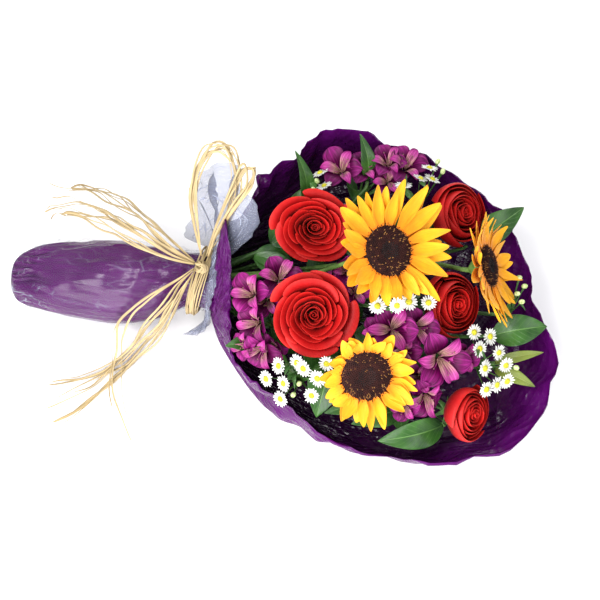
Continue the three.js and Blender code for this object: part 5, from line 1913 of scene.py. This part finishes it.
@dataclass
class Wrapper:
    """The purple sleeve and the clear film over its handle."""

    around: int = 200
    wall: float = 0.25
    handle_share: float = 0.36
    film_share: float = 0.6
    sleeve_rows: int = 150
    film_rows: int = 120

    def handle(self, angle: float, t: float, grow: float) -> Vector:
        """A point of the handle.

        Args:
            angle: Round the handle, from its top towards the front.
            t: From 0 at the closed end to 1 at the neck's end.
            grow: How far outside the sleeve it lies.

        Returns:
            The point.
        """
        x, y, z, wide, high = through(HANDLE, t)
        top = 0.1 + 0.9 * smoothstep(math.cos(angle + 0.5), -0.1, 0.6)
        ends = smoothstep(t, 0.0, 0.1) * (1 - smoothstep(t, 0.72, 0.95))
        gather = NECK_PLEAT * smoothstep(t, 0.3, 0.85) * math.cos(10 * angle)
        seam = 0.35 * angle + 2 * t
        fold = 1 - 2.6 * abs(crumple(seam, 1.8, x * 0.025 + 2 * grow))
        fine = 0.6 - 1.6 * abs(crumple(angle, 4, x * 0.05 + grow))
        closed = smoothstep(t, 0.02, 0.08) * (1 - smoothstep(t, 0.2, 0.34))
        crush = (2.4 * fold + 0.8 * fine) * top * ends + 1.5 * fine * closed
        size = grow + gather + (0.6 * crush if grow else min(0.7, crush - 0.8))
        return Vector((x, y - (wide + size) * math.sin(angle), max(0.3, z + (high + size) * math.cos(angle))))

    def cup(self, angle: float, t: float) -> Vector:
        """A point of the sleeve beyond the tie.

        Args:
            angle: The angle at the tie that it is gathered from.
            t: From 0 at the neck to 1 at the rim.

        Returns:
            The point.
        """
        radial = Vector((0, -math.sin(angle), math.cos(angle)))
        start = TIE + radial * (NECK_RADIUS + NECK_PLEAT * math.cos(10 * angle))
        start.x += NECK_LENGTH
        rim = edge_point(SLEEVE_RIM, math.degrees(angle))
        reach = math.hypot(rim.x - TIE.x, rim.y - TIE.y)
        leave = start + radial * (0.25 * reach) + Vector((0.13 * reach, 0, 0))
        low = Vector((lerp(TIE.x, rim.x, 0.9), rim.y, -19))
        arrive = start.lerp(rim, 0.66).lerp(low, smoothstep(reach, 50, 170))
        arrive.x -= 11 * (1 - smoothstep(reach, 60, 130))
        a, b, c, d = (1 - t) ** 3, 3 * (1 - t) ** 2 * t, 3 * (1 - t) * t * t, t**3
        point = start * a + leave * b + arrive * c + rim * d
        point.z = max(point.z, 0.0)
        return point

    def sleeve(self, u: float, v: float) -> Vector:
        """A point of the whole sleeve: the handle, then the cup with its pleats and creases.

        Args:
            u: From -1 to 1 around.
            v: From 0 at the handle's end to 1 at the rim.

        Returns:
            The point.
        """
        angle = math.pi * (u + 2)
        if v <= self.handle_share:
            point = self.handle(angle, v / self.handle_share, 0.0)
            return point if v > 0 else HANDLE_END.copy()
        t = (v - self.handle_share) / (1 - self.handle_share)
        point = self.cup(angle, t)
        ahead = self.cup(angle, min(1.0, t + 0.01)) - self.cup(angle, max(0.0, t - 0.01))
        aside = self.cup(angle + 0.02, t) - self.cup(angle - 0.02, t)
        normal = ahead.cross(aside).normalized()
        pleat = 1.8 * math.cos(20 * angle) * (1 - t) ** 2 * smoothstep(t, 0.0, 0.1)
        crease = 0.7 - 2.4 * abs(crumple(angle, 3.2, 1.6 * t))
        small = 0.4 - 1.8 * abs(crumple(angle, 11, 2.5 * t))
        dent = ruffle(point.x * 0.03, point.y * 0.03, point.z * 0.03)
        edge = 0.5 - 2 * abs(crumple(angle, 5.5, 0.8 * t + 5))
        ease, late, loose = smoothstep(t, 0.0, 0.25), smoothstep(t, 0.5, 1.0), min(1.0, ahead.length / 3.0)
        relief = (2.4 * crease + 1.8 * small + 1.4 * dent) * ease + 3.5 * edge * late
        moved = point + normal * (pleat + loose * relief)
        out = (point - CUP_MIDDLE).xy.to_3d().normalized() - Vector((0, 0, 0.35))
        moved += out * (smoothstep(t, 0.93, 1.0) * (3.5 + 4 * crumple(angle, 2, 9)))
        moved.z = max(moved.z, 0.2)
        return moved

    def film(self, u: float, v: float) -> Vector:
        """A point of the clear film: over the handle, then flared past the neck.

        Args:
            u: From -1 to 1 around.
            v: From 0 at the handle's end to 1 at the rim.

        Returns:
            The point.
        """
        angle = math.pi * (u + 2)
        if v <= self.film_share:
            point = self.handle(angle, 0.985 * v / self.film_share, FILM_GROW)
            return point + Vector((-2, 0, 0)) if v > 0 else HANDLE_END + Vector((-3, 0, 0))
        t = (v - self.film_share) / (1 - self.film_share)
        radial = Vector((0, -math.sin(angle), math.cos(angle)))
        start = TIE + radial * (NECK_RADIUS + FILM_GROW + NECK_PLEAT * math.cos(10 * angle))
        start.x += NECK_LENGTH - 3
        edge = edge_point(FILM_RIM, math.degrees(angle))
        reach = (edge - start).length
        middle = start + radial * (0.5 * reach)
        point = start * (1 - t) ** 2 + middle * (2 * t * (1 - t)) + edge * t * t
        folds = 0.5 - 2 * abs(crumple(angle, 3, 1.2 * t))
        sharp = 0.4 - 1.6 * abs(crumple(angle, 9, 2.5 * t))
        side = 0.6 * math.cos(20 * angle) + 1.2 * folds + 1.1 * sharp
        point.x += side * 0.055 * reach * t
        point.z = max(point.z, 0.6)
        return point

    def build(self, palette: Palette) -> None:
        """Args:
            palette: The finishes.
        """
        sleeve = Workpiece("sleeve_film")
        sleeve.grid(self.around, self.sleeve_rows, self.sleeve)
        for face in sleeve.mesh.faces:
            face.material_index = 2 if face.calc_center_median().x < TIE.x else 0
        # The inner skin takes the dark copy of the purple film: painted shade inside the sleeve.
        films = [palette.purple, palette.purple_inside_shaded, palette.wrapped, palette.purple_inside_shaded]
        piece = sleeve.finish(films, Slot.PURPLE_FILM, ["purple_sleeve"], self.wall, outward=True)
        clear = Workpiece("handle_film")
        clear.grid(self.around, self.film_rows, self.film)
        piece = clear.finish([palette.clear], Slot.CLEAR_FILM, ["clear_film"], self.wall, outward=True)


# ---------------------------------------------------------------- raffia


@dataclass
class Raffia:
    """The wound band, the bow's loops and the long tails, all of flat fibre."""

    widest: float = 2.9
    narrowest: float = 1.2
    flat: float = 0.34
    steps: int = 40
    turns: int = 14
    knot_loops: int = 8
    returns_above: float = 70.0

    def course(self, points: Sequence[Point], stray: float, lean: Vector, chance: Chance) -> list[Vector]:
        """A strand's middle line, with the kinks of dry fibre, straying from its bundle further out.

        Args:
            points: The points that its bundle runs through.
            stray: How far it strays.
            lean: The way that it strays.
            chance: The stream of numbers.

        Returns:
            Points close together.
        """
        seed, share = chance.between(0, 90), 1.0 - 0.16 * chance.next() * min(1.0, stray)
        loose = Vector((chance.between(-1, 1), chance.between(-0.4, 0.4), chance.between(-0.2, 0.5)))
        away = (loose + lean * chance.between(0.3, 1.0)) * stray
        returns = points[-1][2] >= self.returns_above
        line = []
        for i in range(self.steps + 1):
            t = share * i / self.steps
            point = Vector(through(points, t))
            ease = smoothstep(t, 0.03, 0.5)
            if returns:
                ease *= 1 - smoothstep(t, 0.6, 0.97)
            kink = Vector((ruffle(seed, 6 * t, 0), ruffle(seed, 6 * t, 9), ruffle(seed, 6 * t, 18)))
            point += (kink * 3.0 + away) * ease
            point.z = max(point.z, self.widest / 2 + 0.1)
            line.append(point)
        return line

    def strands(
        self,
        name: str,
        node: str,
        courses: Sequence[Sequence[Point]],
        stray: Sequence[float],
        lean: Vector,
        palette: Palette,
    ) -> None:
        """Builds the strands of some bundles, each as a piece of its own.

        Args:
            name: What the strands are called.
            node: The solid that they stand for.
            courses: The points that each bundle runs through.
            stray: How far each strand of a bundle strays.
            lean: The way that they stray.
            palette: The finishes.
        """
        for number in range(len(stray) * len(courses)):
            chance = Chance(Seed.STRAND + STRAND_STEP * number + len(node))
            line = self.course(courses[number // len(stray)], stray[number % len(stray)], lean, chance)
            width = lerp(self.narrowest, self.widest, chance.next())
            twist = chance.between(1.5, 4.0)
            work = Workpiece(f"{name}_{number + 1}")

            def radius(v: float, width: float = width) -> float:
                """Half the strand's width along it, drawn in at its ends."""
                return 0.5 * width * min(1.0, 0.55 + 12 * v, 0.55 + 12 * (1 - v))

            work.tube(line, radius, 6, flat=self.flat, twist=twist)
            work.close()
            piece = work.finish([palette.raffia], Slot.RAFFIA, [node], outward=True)

    def band(self, palette: Palette) -> None:
        """Builds the turns round the neck and the knot on top.

        Args:
            palette: The finishes.
        """
        chance = Chance(Seed.BAND)
        work = Workpiece("raffia_winding")
        for i in range(self.turns):
            x, width = -6.5 + 11 * i / (self.turns - 1), chance.between(0.9, 1.8)
            tilt, phase = chance.between(3.0, 8.0), chance.between(-1.3, 0.1)
            size = BAND_INNER + 0.6 + 0.7 * (i % 4) + 0.1 * abs(x - tilt)
            ring = [
                TIE + Vector((x + tilt * math.cos(a + phase), size * math.cos(a), size * math.sin(a)))
                for a in circle(48)
            ]
            work.tube(ring, lambda v, width=width: width, 6, flat=0.45, ring=True)
        knot = TIE + Vector((1, -4, BAND_INNER + 4.5))
        for _ in range(self.knot_loops):
            size = Vector((chance.between(3.5, 6.5), chance.between(1, 3), chance.between(3, 5)))
            lean = Matrix.Rotation(chance.between(-0.5, 0.5), 3, "X")
            turn = Matrix.Rotation(chance.between(0, math.pi), 3, "Z") @ lean
            ring = [
                knot + turn @ Vector((size.x * math.cos(a), size.y * math.sin(2 * a), size.z * math.sin(a)))
                for a in circle(32)
            ]
            work.tube(ring, lambda v: 1.3, 6, flat=0.5, ring=True)
        work.finish([palette.raffia], Slot.RAFFIA, ["raffia_band"], outward=True)

    def build(self, palette: Palette) -> None:
        """Builds every piece of the raffia.

        Args:
            palette: The finishes.
        """
        self.band(palette)
        up, back, front = Vector((-0.3, -0.2, 0.3)), Vector((0, 0.4, 0.9)), Vector((0, -0.9, 0.4))
        self.strands("bow_loop", "raffia_loops", BOW_LOOPS, (0.0, 3.0, 5.0, 7.0), up, palette)
        self.strands("back_tail", "raffia_tails_back", TAILS_BACK, (0.0, 5.0, 9.0), back, palette)
        self.strands("front_tail", "raffia_tails_front", TAILS_FRONT, (0.0, 5.0, 8.0), front, palette)


# ---------------------------------------------------------------- studio


@dataclass(frozen=True)
class Lamp:
    """A square soft light: its name, where it hangs and its side in metres, and its power in watts."""

    name: str
    at: Point
    side: float
    power: float


LAMPS = (
    Lamp("key", (-0.7, -0.7, 1.7), 0.8, 27),
    Lamp("fill", (1.2, -0.5, 1.1), 1.0, 10),
    Lamp("rim", (0.1, 1.3, 0.9), 0.9, 12),
    Lamp("front", (-0.3, -1.2, 0.6), 1.2, 34),
)


@dataclass(frozen=True)
class Studio:
    """The camera at the photograph's angle, the pale floor and the soft light."""

    azimuth: float = 9.0
    elevation: float = 62.0
    distance: float = 1.7
    lens: float = 107.4
    target: Point = (0.0, 0.0, 0.06)
    sky: Colour = (0.95, 0.96, 1.0)
    sky_strength: float = 0.62
    floor_half: float = 6.0
    floor_colour: Colour = (0.9, 0.9, 0.9)
    floor_roughness: float = 0.9

    def camera(self) -> None:
        """Sets the camera."""
        a, e = math.radians(self.azimuth), math.radians(self.elevation)
        back = Vector((math.sin(a) * math.cos(e), -math.cos(a) * math.cos(e), math.sin(e)))
        data = bpy.data.cameras.new("camera")
        data.lens = self.lens
        camera = bpy.data.objects.new("camera", data)
        camera.location = Vector(self.target) + back * self.distance
        camera.rotation_mode = "QUATERNION"
        camera.rotation_quaternion = (-back).to_track_quat("-Z", "Y")
        bpy.context.scene.collection.objects.link(camera)
        bpy.context.scene.camera = camera

    def hang(self, lamp: Lamp) -> None:
        """Hangs a light that looks at the bouquet.

        Args:
            lamp: The light.
        """
        data = bpy.data.lights.new(lamp.name, "AREA")
        data.size, data.energy = lamp.side, lamp.power
        light = bpy.data.objects.new(lamp.name, data)
        light.location = lamp.at
        light.rotation_mode = "QUATERNION"
        light.rotation_quaternion = (Vector(self.target) - Vector(lamp.at)).to_track_quat("-Z", "Y")
        bpy.context.scene.collection.objects.link(light)

    def world(self) -> None:
        """Lights the bouquet from all round, and keeps the colours' strength."""
        world = bpy.data.worlds.new("studio")
        world.use_nodes = True
        background = world.node_tree.nodes["Background"]
        background.inputs[0].default_value = (*self.sky, 1.0)
        background.inputs[1].default_value = self.sky_strength
        bpy.context.scene.world = world
        bpy.context.scene.view_settings.view_transform = "Standard"

    def floor(self) -> None:
        """Lays the floor."""
        mesh = bmesh.new()
        bmesh.ops.create_grid(mesh, x_segments=1, y_segments=1, size=self.floor_half)
        data = bpy.data.meshes.new("floor")
        mesh.to_mesh(data)
        mesh.free()
        paint = bpy.data.materials.new("floor")
        paint.use_nodes = True
        shader = paint.node_tree.nodes["Principled BSDF"]
        shader.inputs["Base Color"].default_value = (*self.floor_colour, 1.0)
        shader.inputs["Roughness"].default_value = self.floor_roughness
        data.materials.append(paint)
        floor = bpy.data.objects.new("floor", data)
        bpy.context.scene.collection.objects.link(floor)

    def build(self) -> None:
        """Sets up the whole studio."""
        self.camera()
        for lamp in LAMPS:
            self.hang(lamp)
        self.world()
        self.floor()


# ---------------------------------------------------------------- the whole bouquet


def main() -> None:
    """Builds the bouquet around its frame."""
    logging.basicConfig(level=logging.INFO, format="%(name)s: %(message)s")
    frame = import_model()
    Studio().build()
    palette = Palette()
    Wrapper().build(palette)
    Raffia().build(palette)
    for number, bloom in enumerate(ROSES):
        Rose(number, bloom).build(frame, palette)
    for number, bloom in enumerate(SUNFLOWERS):
        Sunflower(number, bloom).build(frame, palette)
    first = 0
    for number, place in enumerate(ALSTROEMERIAS):
        Alstroemeria(number, place, first).build(frame, palette)
        first += len(place.florets)
    for number, spray in enumerate(ASTERS):
        Aster(number, spray).build(frame, palette)
    first = 0
    for number, leaves in enumerate(LEAFY_STEMS):
        LeafyStem(number, leaves, first).build(frame, palette)
        first += len(leaves)


if __name__ == "__main__":
    main()
